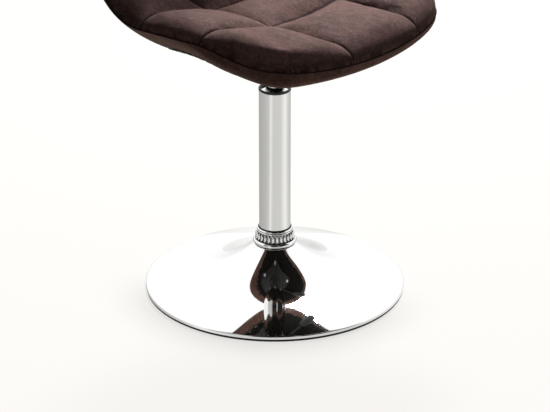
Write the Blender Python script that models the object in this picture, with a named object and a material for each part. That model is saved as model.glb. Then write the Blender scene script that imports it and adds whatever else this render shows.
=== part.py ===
"""Quilted shell chair on a chromed disc foot, with a gas lift that swivels and rises.

Metres, +Z up. The sitter faces -Y, and -X is the sitter's right-hand side.
All heights are from the floor, with the lift in its lowest position.
"""

from math import cos, pi, radians, sin, sqrt

import bmesh
import bpy
from mathutils import Vector

# Clearances
SEAT_GAP = 0.0003
RUNNING_GAP = 0.0003

# The column axis stands ahead of the middle of the chair's footprint
COLUMN_Y = -0.0318

# Foot
FOOT_RADIUS = 0.205
FOOT_SHEET = 0.0016
FOOT_MOUTH_RADIUS = 0.0330
FOOT_TOP_Z = 0.0745
FOOT_MOUTH_SLOPE = radians(39.8)
FOOT_MOUTH_REACH = 0.0503
FOOT_WAIST_RADIUS = 0.1340
FOOT_WAIST_Z = 0.0238
FOOT_WAIST_SLOPE = radians(8.7)
FOOT_WAIST_REACH = 0.0312
FOOT_OUTER_REACH = 0.0258
FOOT_RIM_SLOPE_DEGREES = 15.3
FOOT_RIM_REACH = 0.0166
FOOT_RIM_ROUND = 0.0019
FOOT_RIM_WALL = 0.0031
FOOT_INNER_STEPS = 7
FOOT_OUTER_STEPS = 4
FOOT_RIM_STEPS = 2
FOOT_SEGMENTS = 40
RING_HEIGHT = 0.0039
RING_WIDTH = 0.0175
RING_INSET = 0.0006
RING_EDGE = 0.0010
BALLAST_THICKNESS = 0.006
BALLAST_HOLE_RADIUS = 0.020
BALLAST_EDGE_GAP = 0.0139
BALLAST_LIP = 0.0020
BALLAST_STEP = 0.0195

# Column
TUBE_RADIUS = 0.025
TUBE_WALL = 0.0016
TUBE_TOP_Z = 0.330
TUBE_BOTTOM_Z = 0.020
TUBE_FLOOR = 0.003
TUBE_FOOT_RADIUS = 0.0240
TUBE_TAPER_TOP_Z = 0.072
TUBE_SEGMENTS = 40
SOCKET_WALL = 0.004
SOCKET_TOP_Z = 0.068
SOCKET_FLANGE_RADIUS = 0.048
SOCKET_FLANGE = 0.005

# Collar and its gasket
COLLAR_FLANGE_RADIUS = 0.0348
COLLAR_FLANGE_HEIGHT = 0.0074
COLLAR_BAND_FOOT_RADIUS = 0.0316
COLLAR_BAND_HEAD_RADIUS = 0.0292
COLLAR_BAND_TOP = 0.0216
COLLAR_NECK_RADIUS = 0.0266
COLLAR_BEAD_RADIUS = 0.0278
COLLAR_BEAD_HEIGHT = 0.0040
COLLAR_HEIGHT = 0.0262
COLLAR_BORE_GAP = 0.0005
COLLAR_EDGE_STEPS = 3
FLUTE_COUNT = 28
FLUTE_DEPTH = 0.0016
FLUTE_STEPS = 4
GASKET_RADIUS = 0.0266
GASKET_HEIGHT = 0.0018

# Bush at the top of the column
BUSH_LENGTH = 0.080
BUSH_RECESS = 0.0070

# Thrust bearing at the bottom of the column
RACE_THICKNESS = 0.002
RACE_RADIUS = 0.0190
BALL_RADIUS = 0.0022
BALL_CIRCLE_RADIUS = 0.0130
BALL_COUNT = 8
CAGE_THICKNESS = 0.0016
CAGE_HALF_WIDTH = 0.0042

# Gas spring
ROD_RADIUS = 0.005
ROD_BOTTOM_Z = 0.0140
ROD_GROOVE_DEPTH = 0.0010
CLIP_THICKNESS = 0.0014
CLIP_RADIUS = 0.0085
CLIP_OPENING = radians(70)
CLIP_STEPS = 18
KEEPER_THICKNESS = 0.0012
KEEPER_RADIUS = 0.0115
BUFFER_HEIGHT = 0.012
BUFFER_RADIUS = 0.0118
PISTON_THICKNESS = 0.012
PISTON_MARGIN = 0.006
CYLINDER_RADIUS = 0.014
CYLINDER_WALL = 0.0016
CYLINDER_TOP_Z = 0.3795
CYLINDER_CAP = 0.012
CYLINDER_TIP_RADIUS = 0.0130
SEAL_LENGTH = 0.018
LIFT_STROKE = 0.12
PIN_RADIUS = 0.0026
PIN_PROUD = 0.0056
PIN_LENGTH = 0.040

# Seat plate, a pressed steel hat section, and its cone
PLATE_SHEET = 0.0025
PLATE_WEB_HALF = 0.050
PLATE_LIP_HALF = 0.072
PLATE_HALF_LENGTH = 0.075
PLATE_DEPTH = 0.0315
HUB_BOTTOM_Z = 0.349
HUB_WALL = 0.0036
HUB_PROUD = 0.0020
BOLT_RADIUS = 0.004
BOLT_HEAD_RADIUS = 0.0070
BOLT_HEAD_HEIGHT = 0.0042
BOLT_SPACING_Y = 0.104
WASHER_RADIUS = 0.0085
WASHER_THICKNESS = 0.0014
NUT_BARREL_RADIUS = 0.0056
NUT_FLANGE_RADIUS = 0.0100
NUT_FLANGE = 0.0016
NUT_LENGTH = 0.0120

# Height lever
LEVER_RADIUS = 0.0035
LEVER_TAIL = 0.012
LEVER_CRANK_START = 0.009
LEVER_CRANK_END = 0.030
LEVER_CRANK_DROP = 0.0040
LEVER_REACH = 0.106
LEVER_GRIP_LENGTH = 0.062
LEVER_GRIP_OVERLAP = 0.030
LEVER_GRIP_HALF_WIDTH = 0.011
LEVER_GRIP_HALF_HEIGHT = 0.0055
LEVER_GRIP_SIDES = 16
LEVER_GRIP_FLATNESS = 0.45
LEVER_GRIP_SECTIONS = ((0.0, 0.62), (0.06, 0.78), (0.45, 1.0), (0.86, 0.96), (0.96, 0.84), (1.0, 0.60))
LEVER_BEND_STEPS = 4
LEVER_SWING = radians(5)
LEVER_BUSH_RADIUS = 0.0078
LEVER_BUSH_RIM = 0.0105
LEVER_BUSH_LENGTH = 0.0070

# Shell: centre line of the seam that runs round its rim
SEAT_FRONT = 0.213
SEAT_Z = 0.4355
FRONT_RISE = 0.002
FRONT_RISE_LENGTH = 0.150
BEND_START_Y = 0.060
BEND_RADIUS = 0.135
BEND_ANGLE = radians(76)
BACK_LENGTH = 0.300
SEAT_HALF_WIDTH = 0.243
BACK_HALF_WIDTH = 0.212
WIDTH_BLEND_START = 0.270
WIDTH_BLEND_END = 0.720
FRONT_CORNER_LENGTH = 0.180
TOP_CORNER_LENGTH = 0.190
CORNER_ROUNDING = 0.45
CORNER_SPREAD = 1.2
FRONT_LIFT = 0.018
SIDE_LIFT = 0.0445
LIFT_START = 0.050
LIFT_END = 0.170
LIFT_POWER = 1.8

# Upholstery
QUILT_SEAM_X = 0.087
QUILT_FIRST_ROW = 0.156
QUILT_ROW = 0.115
QUILT_ROWS = 6
PAD_SEAM_THICKNESS = 0.0230
PAD_PUFF = 0.018
PAD_EDGE_RADIUS = 0.036
SHELL_THICKNESS = 0.009
EDGE_PANEL_PLACES = (0.0, 0.05, 0.16, 0.34, 0.58, 0.82)
MIDDLE_PANEL_PLACES = (0.0, 0.25, 0.50, 0.75)
SHELL_INSET_CELLS = 3
DISH_DEPTH = 0.041
BACK_DEPTH = 0.030
DISH_EDGE_LENGTH = 0.170
DISH_FRONT_POWER = 0.5
DISH_SIDE_POWER = 1.8
DISH_SIDE_START = 0.120
DISH_SIDE_END = 0.270
BACK_EDGE_LENGTH = 0.090
BACK_EDGE_POWER = 0.7
BOARD_THICKNESS = 0.018
BOARD_HALF_X = 0.098
BOARD_HALF_Y = 0.105
BOARD_CORNER = 0.030
OPENING_MARGIN = 0.007
OPENING_CORNER = 0.018
OUTLINE_CORNER_STEPS = 5

# Sides of the smaller turned pieces
LARGE_SEGMENTS = 32
MIDDLE_SEGMENTS = 24
SMALL_SEGMENTS = 20
BOLT_SEGMENTS = 12
POCKET_SEGMENTS = 8

# Places that follow from the sizes above
BALLAST_BOTTOM_Z = RING_HEIGHT + SEAT_GAP
BALLAST_TOP_Z = BALLAST_BOTTOM_Z + BALLAST_THICKNESS
COLLAR_BOTTOM_Z = FOOT_TOP_Z + SEAT_GAP
COLLAR_TOP_Z = COLLAR_BOTTOM_Z + COLLAR_HEIGHT
COLLAR_BORE = TUBE_RADIUS + COLLAR_BORE_GAP
TUBE_BORE = TUBE_RADIUS - TUBE_WALL
TUBE_FLOOR_Z = TUBE_BOTTOM_Z + TUBE_FLOOR
TUBE_HOLE = ROD_RADIUS + 2 * RUNNING_GAP
LOWER_RACE_TOP_Z = TUBE_FLOOR_Z + SEAT_GAP + RACE_THICKNESS
BALL_Z = LOWER_RACE_TOP_Z + RUNNING_GAP + BALL_RADIUS
UPPER_RACE_Z = BALL_Z + BALL_RADIUS + RUNNING_GAP
UPPER_RACE_TOP_Z = UPPER_RACE_Z + RACE_THICKNESS
BUFFER_TOP_Z = UPPER_RACE_TOP_Z + SEAT_GAP + BUFFER_HEIGHT
CYLINDER_BOTTOM_Z = BUFFER_TOP_Z + RUNNING_GAP
CYLINDER_BORE = CYLINDER_RADIUS - CYLINDER_WALL
SEAL_TOP_Z = CYLINDER_BOTTOM_Z + SEAL_LENGTH
PISTON_BOTTOM_Z = SEAL_TOP_Z + LIFT_STROKE + PISTON_MARGIN
PIN_TOP_Z = CYLINDER_TOP_Z + PIN_PROUD
LEVER_Z = PIN_TOP_Z + RUNNING_GAP + LEVER_RADIUS
SHELL_TOP = -SEAT_GAP / 2
SHELL_BOTTOM = SHELL_TOP - SHELL_THICKNESS
RECESS = SHELL_BOTTOM - SEAT_GAP
BOARD_TOP_Z = SEAT_Z + RECESS
BOARD_BOTTOM_Z = BOARD_TOP_Z - BOARD_THICKNESS
PLATE_TOP_Z = BOARD_BOTTOM_Z - SEAT_GAP
PLATE_BOTTOM_Z = PLATE_TOP_Z - PLATE_DEPTH
BOLT_X = (PLATE_WEB_HALF + PLATE_LIP_HALF) / 2
BOLT_Y = BOLT_SPACING_Y / 2
LEVER_PIVOT_X = PLATE_WEB_HALF - PLATE_SHEET / 2
BEND_START = SEAT_FRONT + BEND_START_Y
BEND_LENGTH = BEND_RADIUS * BEND_ANGLE
SHELL_LENGTH = BEND_START + BEND_LENGTH + BACK_LENGTH


def clear_scene():
    """Remove whatever the file holds before the model is made."""
    for old in list(bpy.data.objects):
        bpy.data.objects.remove(old, do_unlink=True)


def material(name, colour, roughness, metallic=0.0):
    """One Principled material."""
    made = bpy.data.materials.new(name)
    made.use_nodes = True
    shader = made.node_tree.nodes["Principled BSDF"]
    shader.inputs["Base Color"].default_value = (*colour, 1.0)
    shader.inputs["Roughness"].default_value = roughness
    shader.inputs["Metallic"].default_value = metallic
    return made


def make_materials():
    """The finishes of the chair, by name."""
    return {
        "chrome": material("chrome", (0.82, 0.82, 0.83), 0.05, 1.0),
        "steel": material("steel", (0.55, 0.55, 0.56), 0.35, 1.0),
        "black_steel": material("black_steel", (0.02, 0.02, 0.02), 0.45),
        "black_plastic": material("black_plastic", (0.015, 0.015, 0.015), 0.40),
        "rubber": material("rubber", (0.012, 0.012, 0.012), 0.70),
        "plywood": material("plywood", (0.55, 0.40, 0.24), 0.60),
        "suede": material("suede", (0.055, 0.030, 0.024), 0.90),
    }


def empty(name, parent=None, location=(0.0, 0.0, 0.0)):
    """An empty that carries the pieces of one body."""
    made = bpy.data.objects.new(name, None)
    made.empty_display_size = 0.05
    made.parent = parent
    made.location = location
    bpy.context.collection.objects.link(made)
    return made


def finish_mesh(name, bm, finish, smooth_angle):
    """Turn a bmesh into a mesh with outward faces and smooth shading."""
    bmesh.ops.recalc_face_normals(bm, faces=bm.faces)
    mesh = bpy.data.meshes.new(name)
    bm.to_mesh(mesh)
    bm.free()
    mesh.shade_smooth()
    mesh.set_sharp_from_angle(angle=radians(smooth_angle))
    if finish is not None:
        mesh.materials.append(finish)
    return mesh


def place_object(name, data, parent, location=(0.0, 0.0, 0.0)):
    """A named object with its own place under its body."""
    made = bpy.data.objects.new(name, data)
    made.parent = parent
    made.location = location
    bpy.context.collection.objects.link(made)
    return made


def add_object(name, bm, finish, parent, smooth_angle=35):
    """One piece, modelled in its body's own coordinates."""
    return place_object(name, finish_mesh(name, bm, finish, smooth_angle), parent)


def add_copies(name, bm, finish, parent, places, smooth_angle=35):
    """Numbered copies of one piece that share a mesh."""
    mesh = finish_mesh(name, bm, finish, smooth_angle)
    for number, location in enumerate(places, 1):
        place_object(f"{name}_{number}", mesh, parent, location)


def cut(target, cutter):
    """Take a hidden cutter out of a piece."""
    cutter.hide_render = True
    cutter.display_type = "WIRE"
    step = target.modifiers.new("cut_" + cutter.name, "BOOLEAN")
    step.operation = "DIFFERENCE"
    step.solver = "EXACT"
    step.object = cutter


def bezier(start, handle_a, handle_b, end, steps):
    """Points along a cubic curve in the profile plane, without the last one."""
    points = []
    for i in range(steps):
        t = i / steps
        a = (1 - t) ** 3
        b = 3 * t * (1 - t) ** 2
        c = 3 * t * t * (1 - t)
        d = t ** 3
        r = a * start[0] + b * handle_a[0] + c * handle_b[0] + d * end[0]
        z = a * start[1] + b * handle_a[1] + c * handle_b[1] + d * end[1]
        points.append((r, z))
    return points


def arc(centre, radius, start_degrees, end_degrees, steps):
    """Points on an arc in the profile plane, both ends included."""
    points = []
    for i in range(steps + 1):
        angle = radians(start_degrees + (end_degrees - start_degrees) * i / steps)
        points.append((centre[0] + radius * cos(angle), centre[1] + radius * sin(angle)))
    return points


def offset_profile(points, distance):
    """A copy of a profile moved sideways, to the right of its direction."""
    moved = []
    last = len(points) - 1
    for i, (r, z) in enumerate(points):
        before = points[max(i - 1, 0)]
        after = points[min(i + 1, last)]
        dr = after[0] - before[0]
        dz = after[1] - before[1]
        length = sqrt(dr * dr + dz * dz)
        moved.append((r + distance * dz / length, z - distance * dr / length))
    return moved


def turn(bm, profile, segments, centre=(0.0, 0.0, 0.0), wave=None):
    """Spin a closed profile of (radius, height) about the vertical through centre.

    wave(point, angle) may add to the radius of a profile point.
    """
    rings = []
    for index, (r, z) in enumerate(profile):
        if r < 1e-9:
            rings.append([bm.verts.new((centre[0], centre[1], centre[2] + z))])
            continue
        ring = []
        for k in range(segments):
            angle = 2 * pi * k / segments
            radius = r + (wave(index, angle) if wave else 0.0)
            x = centre[0] + radius * cos(angle)
            y = centre[1] + radius * sin(angle)
            ring.append(bm.verts.new((x, y, centre[2] + z)))
        rings.append(ring)
    for i, ring in enumerate(rings):
        following = rings[(i + 1) % len(rings)]
        join_rings(bm, ring, following, segments)


def join_rings(bm, ring, following, segments):
    """Faces between two rings, either of which may be a single point on the axis."""
    if len(ring) == 1 and len(following) == 1:
        return
    for k in range(segments):
        n = (k + 1) % segments
        if len(ring) == 1:
            bm.faces.new((ring[0], following[n], following[k]))
        elif len(following) == 1:
            bm.faces.new((ring[k], ring[n], following[0]))
        else:
            bm.faces.new((ring[k], ring[n], following[n], following[k]))


def turned(name, profile, segments, finish, parent, wave=None):
    """A turned piece on the column's axis."""
    bm = bmesh.new()
    turn(bm, profile, segments, wave=wave)
    return add_object(name, bm, finish, parent)


def washer_profile(inner, outer, bottom, top):
    """Square section of a ring."""
    return [(outer, top), (outer, bottom), (inner, bottom), (inner, top)]


def bevelled_ring(inner, outer, bottom, top, bevel):
    """Section of a ring with all four edges broken."""
    return [
        (outer - bevel, top), (outer, top - bevel), (outer, bottom + bevel), (outer - bevel, bottom),
        (inner + bevel, bottom), (inner, bottom + bevel), (inner, top - bevel), (inner + bevel, top),
    ]


def extruded(name, outline, bottom, top, finish, parent):
    """A flat outline in X and Y raised between two heights."""
    bm = bmesh.new()
    low = [bm.verts.new((x, y, bottom)) for x, y in outline]
    high = [bm.verts.new((x, y, top)) for x, y in outline]
    bm.faces.new(low)
    bm.faces.new(high)
    join_rings(bm, low, high, len(outline))
    return add_object(name, bm, finish, parent)


def rounded_rectangle(half_x, half_y, corner, steps):
    """Outline of a rectangle with round corners."""
    points = []
    for sign_x, sign_y, start in ((1, 1, 0), (-1, 1, 90), (-1, -1, 180), (1, -1, 270)):
        centre = (sign_x * (half_x - corner), sign_y * (half_y - corner))
        points += arc(centre, corner, start, start + 90, steps)
    return points


def foot_profile():
    """Outer line of the trumpet foot, from its mouth down to the rim."""
    mouth = (FOOT_MOUTH_RADIUS, FOOT_TOP_Z)
    waist = (FOOT_WAIST_RADIUS, FOOT_WAIST_Z)
    rim = (FOOT_RADIUS, RING_HEIGHT + SEAT_GAP)
    rim_middle = (FOOT_RADIUS - FOOT_RIM_ROUND, rim[1] + FOOT_RIM_WALL)
    edge = arc(rim_middle, FOOT_RIM_ROUND, 90 - FOOT_RIM_SLOPE_DEGREES, 0, FOOT_RIM_STEPS)
    mouth_handle = downhill(mouth, FOOT_MOUTH_SLOPE, FOOT_MOUTH_REACH)
    waist_handle = downhill(waist, FOOT_WAIST_SLOPE, -FOOT_WAIST_REACH)
    outer_handle = downhill(waist, FOOT_WAIST_SLOPE, FOOT_OUTER_REACH)
    edge_handle = downhill(edge[0], radians(FOOT_RIM_SLOPE_DEGREES), -FOOT_RIM_REACH)
    line = bezier(mouth, mouth_handle, waist_handle, waist, FOOT_INNER_STEPS)
    line += bezier(waist, outer_handle, edge_handle, edge[0], FOOT_OUTER_STEPS)
    return line + edge + [rim]


def downhill(point, slope, reach):
    """A point of the profile plane moved outwards and down a slope."""
    return point[0] + reach * cos(slope), point[1] - reach * sin(slope)


def make_foot(finishes, body):
    """Spun cover, ballast, rubber ring and socket of the foot."""
    outside = foot_profile()
    inside = offset_profile(outside, FOOT_SHEET)
    inside[0] = (FOOT_MOUTH_RADIUS - FOOT_SHEET, FOOT_TOP_Z)
    inside[-1] = (FOOT_RADIUS - FOOT_SHEET, RING_HEIGHT + SEAT_GAP)
    turned("trumpet_base", outside + inside[::-1], FOOT_SEGMENTS, finishes["chrome"], body)

    ring_outer = FOOT_RADIUS - RING_INSET
    ring_inner = ring_outer - RING_WIDTH
    ring = [
        (ring_outer, RING_HEIGHT), (ring_outer, RING_EDGE), (ring_outer - RING_EDGE, 0.0),
        (ring_inner + RING_EDGE, 0.0), (ring_inner, RING_EDGE), (ring_inner, RING_HEIGHT),
    ]
    turned("floor_ring", ring, FOOT_SEGMENTS, finishes["rubber"], body)

    lip_radius = FOOT_RADIUS - FOOT_SHEET - BALLAST_EDGE_GAP
    lip_top = BALLAST_BOTTOM_Z + BALLAST_LIP
    plate_radius = lip_radius - BALLAST_STEP
    plate = [
        (BALLAST_HOLE_RADIUS, BALLAST_TOP_Z), (plate_radius, BALLAST_TOP_Z), (plate_radius, lip_top),
        (lip_radius, lip_top), (lip_radius, BALLAST_BOTTOM_Z), (BALLAST_HOLE_RADIUS, BALLAST_BOTTOM_Z),
    ]
    turned("ballast_plate", plate, FOOT_SEGMENTS, finishes["black_steel"], body)

    bottom = BALLAST_TOP_Z + SEAT_GAP
    rise = (TUBE_RADIUS - TUBE_FOOT_RADIUS) / (TUBE_TAPER_TOP_Z - TUBE_BOTTOM_Z)
    low_bore = TUBE_FOOT_RADIUS + SEAT_GAP
    top_bore = TUBE_FOOT_RADIUS + rise * (SOCKET_TOP_Z - TUBE_BOTTOM_Z) + SEAT_GAP
    wall = top_bore + SOCKET_WALL
    socket = [
        (top_bore, SOCKET_TOP_Z), (wall, SOCKET_TOP_Z), (wall, bottom + 2 * SOCKET_FLANGE),
        (wall + SOCKET_FLANGE, bottom + SOCKET_FLANGE), (SOCKET_FLANGE_RADIUS, bottom + SOCKET_FLANGE),
        (SOCKET_FLANGE_RADIUS, bottom), (low_bore, bottom), (low_bore, TUBE_BOTTOM_Z),
    ]
    turned("base_socket", socket, LARGE_SEGMENTS, finishes["black_steel"], body)


def make_column(finishes, body):
    """Outer tube of the lift with its collar, gasket, bush and fixed race."""
    edge = TUBE_WALL / 3
    tube = [
        (TUBE_BORE, TUBE_TOP_Z - edge), (TUBE_BORE + edge, TUBE_TOP_Z), (TUBE_RADIUS - edge, TUBE_TOP_Z),
        (TUBE_RADIUS, TUBE_TOP_Z - edge), (TUBE_RADIUS, TUBE_TAPER_TOP_Z),
        (TUBE_FOOT_RADIUS, TUBE_BOTTOM_Z), (TUBE_HOLE, TUBE_BOTTOM_Z), (TUBE_HOLE, TUBE_FLOOR_Z),
        (TUBE_FOOT_RADIUS - TUBE_WALL, TUBE_FLOOR_Z), (TUBE_BORE, TUBE_TAPER_TOP_Z),
    ]
    turned("column_tube", tube, TUBE_SEGMENTS, finishes["chrome"], body)

    make_collar(finishes, body)
    gasket_bottom = COLLAR_TOP_Z + SEAT_GAP
    gasket = washer_profile(TUBE_RADIUS + SEAT_GAP, GASKET_RADIUS, gasket_bottom,
                            gasket_bottom + GASKET_HEIGHT)
    turned("collar_gasket", gasket, MIDDLE_SEGMENTS, finishes["rubber"], body)

    bush_top = TUBE_TOP_Z - BUSH_RECESS
    bush = washer_profile(CYLINDER_RADIUS + RUNNING_GAP, TUBE_BORE - SEAT_GAP,
                          bush_top - BUSH_LENGTH, bush_top)
    turned("guide_bush", bush, LARGE_SEGMENTS, finishes["black_plastic"], body)

    race = washer_profile(TUBE_HOLE, RACE_RADIUS, TUBE_FLOOR_Z + SEAT_GAP, LOWER_RACE_TOP_Z)
    turned("bearing_lower_washer", race, MIDDLE_SEGMENTS, finishes["steel"], body)


def make_collar(finishes, body):
    """Collar with a round flange, a fluted band and a bead against the tube."""
    flange_top = COLLAR_BOTTOM_Z + COLLAR_FLANGE_HEIGHT
    half = COLLAR_FLANGE_HEIGHT / 2
    band_top = COLLAR_BOTTOM_Z + COLLAR_BAND_TOP
    bead_edge = COLLAR_BEAD_HEIGHT / 4
    bead_bottom = COLLAR_TOP_Z - COLLAR_BEAD_HEIGHT
    profile = [
        (COLLAR_BORE, COLLAR_TOP_Z), (COLLAR_NECK_RADIUS, COLLAR_TOP_Z),
        (COLLAR_BEAD_RADIUS, COLLAR_TOP_Z - bead_edge), (COLLAR_BEAD_RADIUS, bead_bottom + bead_edge),
        (COLLAR_NECK_RADIUS, bead_bottom), (COLLAR_BAND_HEAD_RADIUS, band_top),
    ]
    fluted = len(profile)
    profile.append(((COLLAR_BAND_HEAD_RADIUS + COLLAR_BAND_FOOT_RADIUS) / 2, (band_top + flange_top) / 2))
    profile.append((COLLAR_BAND_FOOT_RADIUS, flange_top))
    flange_centre = (COLLAR_FLANGE_RADIUS - half, COLLAR_BOTTOM_Z + half)
    profile += arc(flange_centre, half, 60, -80, COLLAR_EDGE_STEPS)
    profile.append((COLLAR_BORE, COLLAR_BOTTOM_Z))

    def flutes(point, angle):
        if point != fluted:
            return 0.0
        return -FLUTE_DEPTH * (0.5 - 0.5 * cos(FLUTE_COUNT * angle))

    turned("trim_collar", profile, FLUTE_COUNT * FLUTE_STEPS, finishes["chrome"], body, flutes)


def make_bearing(finishes, body):
    """Caged ring of balls that rolls between the two races."""
    angles = [2 * pi * k / BALL_COUNT for k in range(BALL_COUNT)]
    places = [(BALL_CIRCLE_RADIUS * cos(a), BALL_CIRCLE_RADIUS * sin(a), BALL_Z) for a in angles]
    bm = bmesh.new()
    bmesh.ops.create_icosphere(bm, subdivisions=2, radius=BALL_RADIUS)
    add_copies("bearing_ball", bm, finishes["steel"], body, places, 180)

    half = CAGE_THICKNESS / 2
    ring = washer_profile(BALL_CIRCLE_RADIUS - CAGE_HALF_WIDTH, BALL_CIRCLE_RADIUS + CAGE_HALF_WIDTH,
                          BALL_Z - half, BALL_Z + half)
    cage = turned("bearing_cage", ring, LARGE_SEGMENTS, finishes["black_plastic"], body)
    pocket = BALL_RADIUS + RUNNING_GAP
    hole = [(0.0, CAGE_THICKNESS), (pocket, CAGE_THICKNESS), (pocket, -CAGE_THICKNESS),
            (0.0, -CAGE_THICKNESS)]
    bm = bmesh.new()
    for place in places:
        turn(bm, hole, POCKET_SEGMENTS, place)
    cut(cage, add_object("cage_pockets", bm, None, body))


def make_rod(finishes, body):
    """Piston rod with what it carries, held in the tube's floor by a clip."""
    race = washer_profile(ROD_RADIUS + SEAT_GAP, RACE_RADIUS, UPPER_RACE_Z, UPPER_RACE_TOP_Z)
    turned("bearing_upper_washer", race, MIDDLE_SEGMENTS, finishes["steel"], body)

    buffer_bottom = UPPER_RACE_TOP_Z + SEAT_GAP
    buffer = bevelled_ring(ROD_RADIUS + SEAT_GAP, BUFFER_RADIUS, buffer_bottom, BUFFER_TOP_Z,
                           BUFFER_HEIGHT / 8)
    turned("rod_buffer", buffer, SMALL_SEGMENTS, finishes["rubber"], body)

    keeper_top = TUBE_BOTTOM_Z - RUNNING_GAP
    keeper_bottom = keeper_top - KEEPER_THICKNESS
    keeper = washer_profile(ROD_RADIUS + SEAT_GAP, KEEPER_RADIUS, keeper_bottom, keeper_top)
    turned("retaining_washer", keeper, SMALL_SEGMENTS, finishes["steel"], body)

    clip_top = keeper_bottom - SEAT_GAP
    clip_bottom = clip_top - CLIP_THICKNESS
    groove = ROD_RADIUS - ROD_GROOVE_DEPTH
    make_clip(finishes, body, groove + SEAT_GAP, clip_bottom, clip_top)

    rod_top = PISTON_BOTTOM_Z + PISTON_THICKNESS + SEAT_GAP
    seat_radius = ROD_RADIUS - ROD_GROOVE_DEPTH
    piston_seat = PISTON_BOTTOM_Z - SEAT_GAP
    rod = [
        (0.0, rod_top), (seat_radius, rod_top), (seat_radius, piston_seat), (ROD_RADIUS, piston_seat),
        (ROD_RADIUS, clip_top + SEAT_GAP), (groove, clip_top + SEAT_GAP),
        (groove, clip_bottom - SEAT_GAP), (ROD_RADIUS, clip_bottom - SEAT_GAP),
        (ROD_RADIUS, ROD_BOTTOM_Z), (0.0, ROD_BOTTOM_Z),
    ]
    turned("piston_rod", rod, SMALL_SEGMENTS, finishes["steel"], body)

    piston = bevelled_ring(seat_radius + SEAT_GAP, CYLINDER_BORE - RUNNING_GAP, PISTON_BOTTOM_Z,
                           PISTON_BOTTOM_Z + PISTON_THICKNESS, PISTON_THICKNESS / 10)
    turned("piston", piston, MIDDLE_SEGMENTS, finishes["black_plastic"], body)


def make_clip(finishes, body, inner, bottom, top):
    """Open spring clip in the rod's groove."""
    bm = bmesh.new()
    sections = []
    for i in range(CLIP_STEPS + 1):
        angle = CLIP_OPENING / 2 + (2 * pi - CLIP_OPENING) * i / CLIP_STEPS
        section = []
        for r, z in washer_profile(inner, CLIP_RADIUS, bottom, top):
            section.append(bm.verts.new((r * cos(angle), r * sin(angle), z)))
        sections.append(section)
    for near, far in zip(sections, sections[1:]):
        join_rings(bm, near, far, len(near))
    bm.faces.new(sections[0])
    bm.faces.new(sections[-1])
    add_object("retaining_clip", bm, finishes["steel"], body)


def taper_radius(z):
    """Radius of the cylinder's tapered top at a height."""
    share = (z - HUB_BOTTOM_Z) / (CYLINDER_TOP_Z - HUB_BOTTOM_Z)
    return CYLINDER_RADIUS + (CYLINDER_TIP_RADIUS - CYLINDER_RADIUS) * max(share, 0.0)


def make_cylinder(finishes, body):
    """Gas cylinder with its seal, and the cone that grips its tapered top."""
    pin_bore = PIN_RADIUS + RUNNING_GAP
    cap_bottom = CYLINDER_TOP_Z - CYLINDER_CAP
    cylinder = [
        (pin_bore, CYLINDER_TOP_Z), (CYLINDER_TIP_RADIUS, CYLINDER_TOP_Z),
        (CYLINDER_RADIUS, HUB_BOTTOM_Z), (CYLINDER_RADIUS, CYLINDER_BOTTOM_Z),
        (CYLINDER_BORE, CYLINDER_BOTTOM_Z), (CYLINDER_BORE, HUB_BOTTOM_Z),
        (CYLINDER_TIP_RADIUS - CYLINDER_WALL, cap_bottom), (pin_bore, cap_bottom),
    ]
    turned("gas_cylinder", cylinder, LARGE_SEGMENTS, finishes["chrome"], body)

    seal = washer_profile(ROD_RADIUS + RUNNING_GAP, CYLINDER_BORE - SEAT_GAP, CYLINDER_BOTTOM_Z, SEAL_TOP_Z)
    turned("rod_seal", seal, MIDDLE_SEGMENTS, finishes["rubber"], body)

    top = PLATE_BOTTOM_Z + PLATE_SHEET + HUB_PROUD
    low = taper_radius(HUB_BOTTOM_Z) + SEAT_GAP
    high = taper_radius(top) + SEAT_GAP
    wall = low + HUB_WALL
    flare = wall + HUB_PROUD
    seat_z = PLATE_BOTTOM_Z - SEAT_GAP
    hub = [
        (high, top), (wall, top), (wall, seat_z), (flare, seat_z), (flare, seat_z - HUB_PROUD),
        (wall, seat_z - 2 * HUB_PROUD), (wall, HUB_BOTTOM_Z), (low, HUB_BOTTOM_Z),
    ]
    turned("taper_hub", hub, LARGE_SEGMENTS, finishes["black_steel"], body)
    return wall


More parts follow.
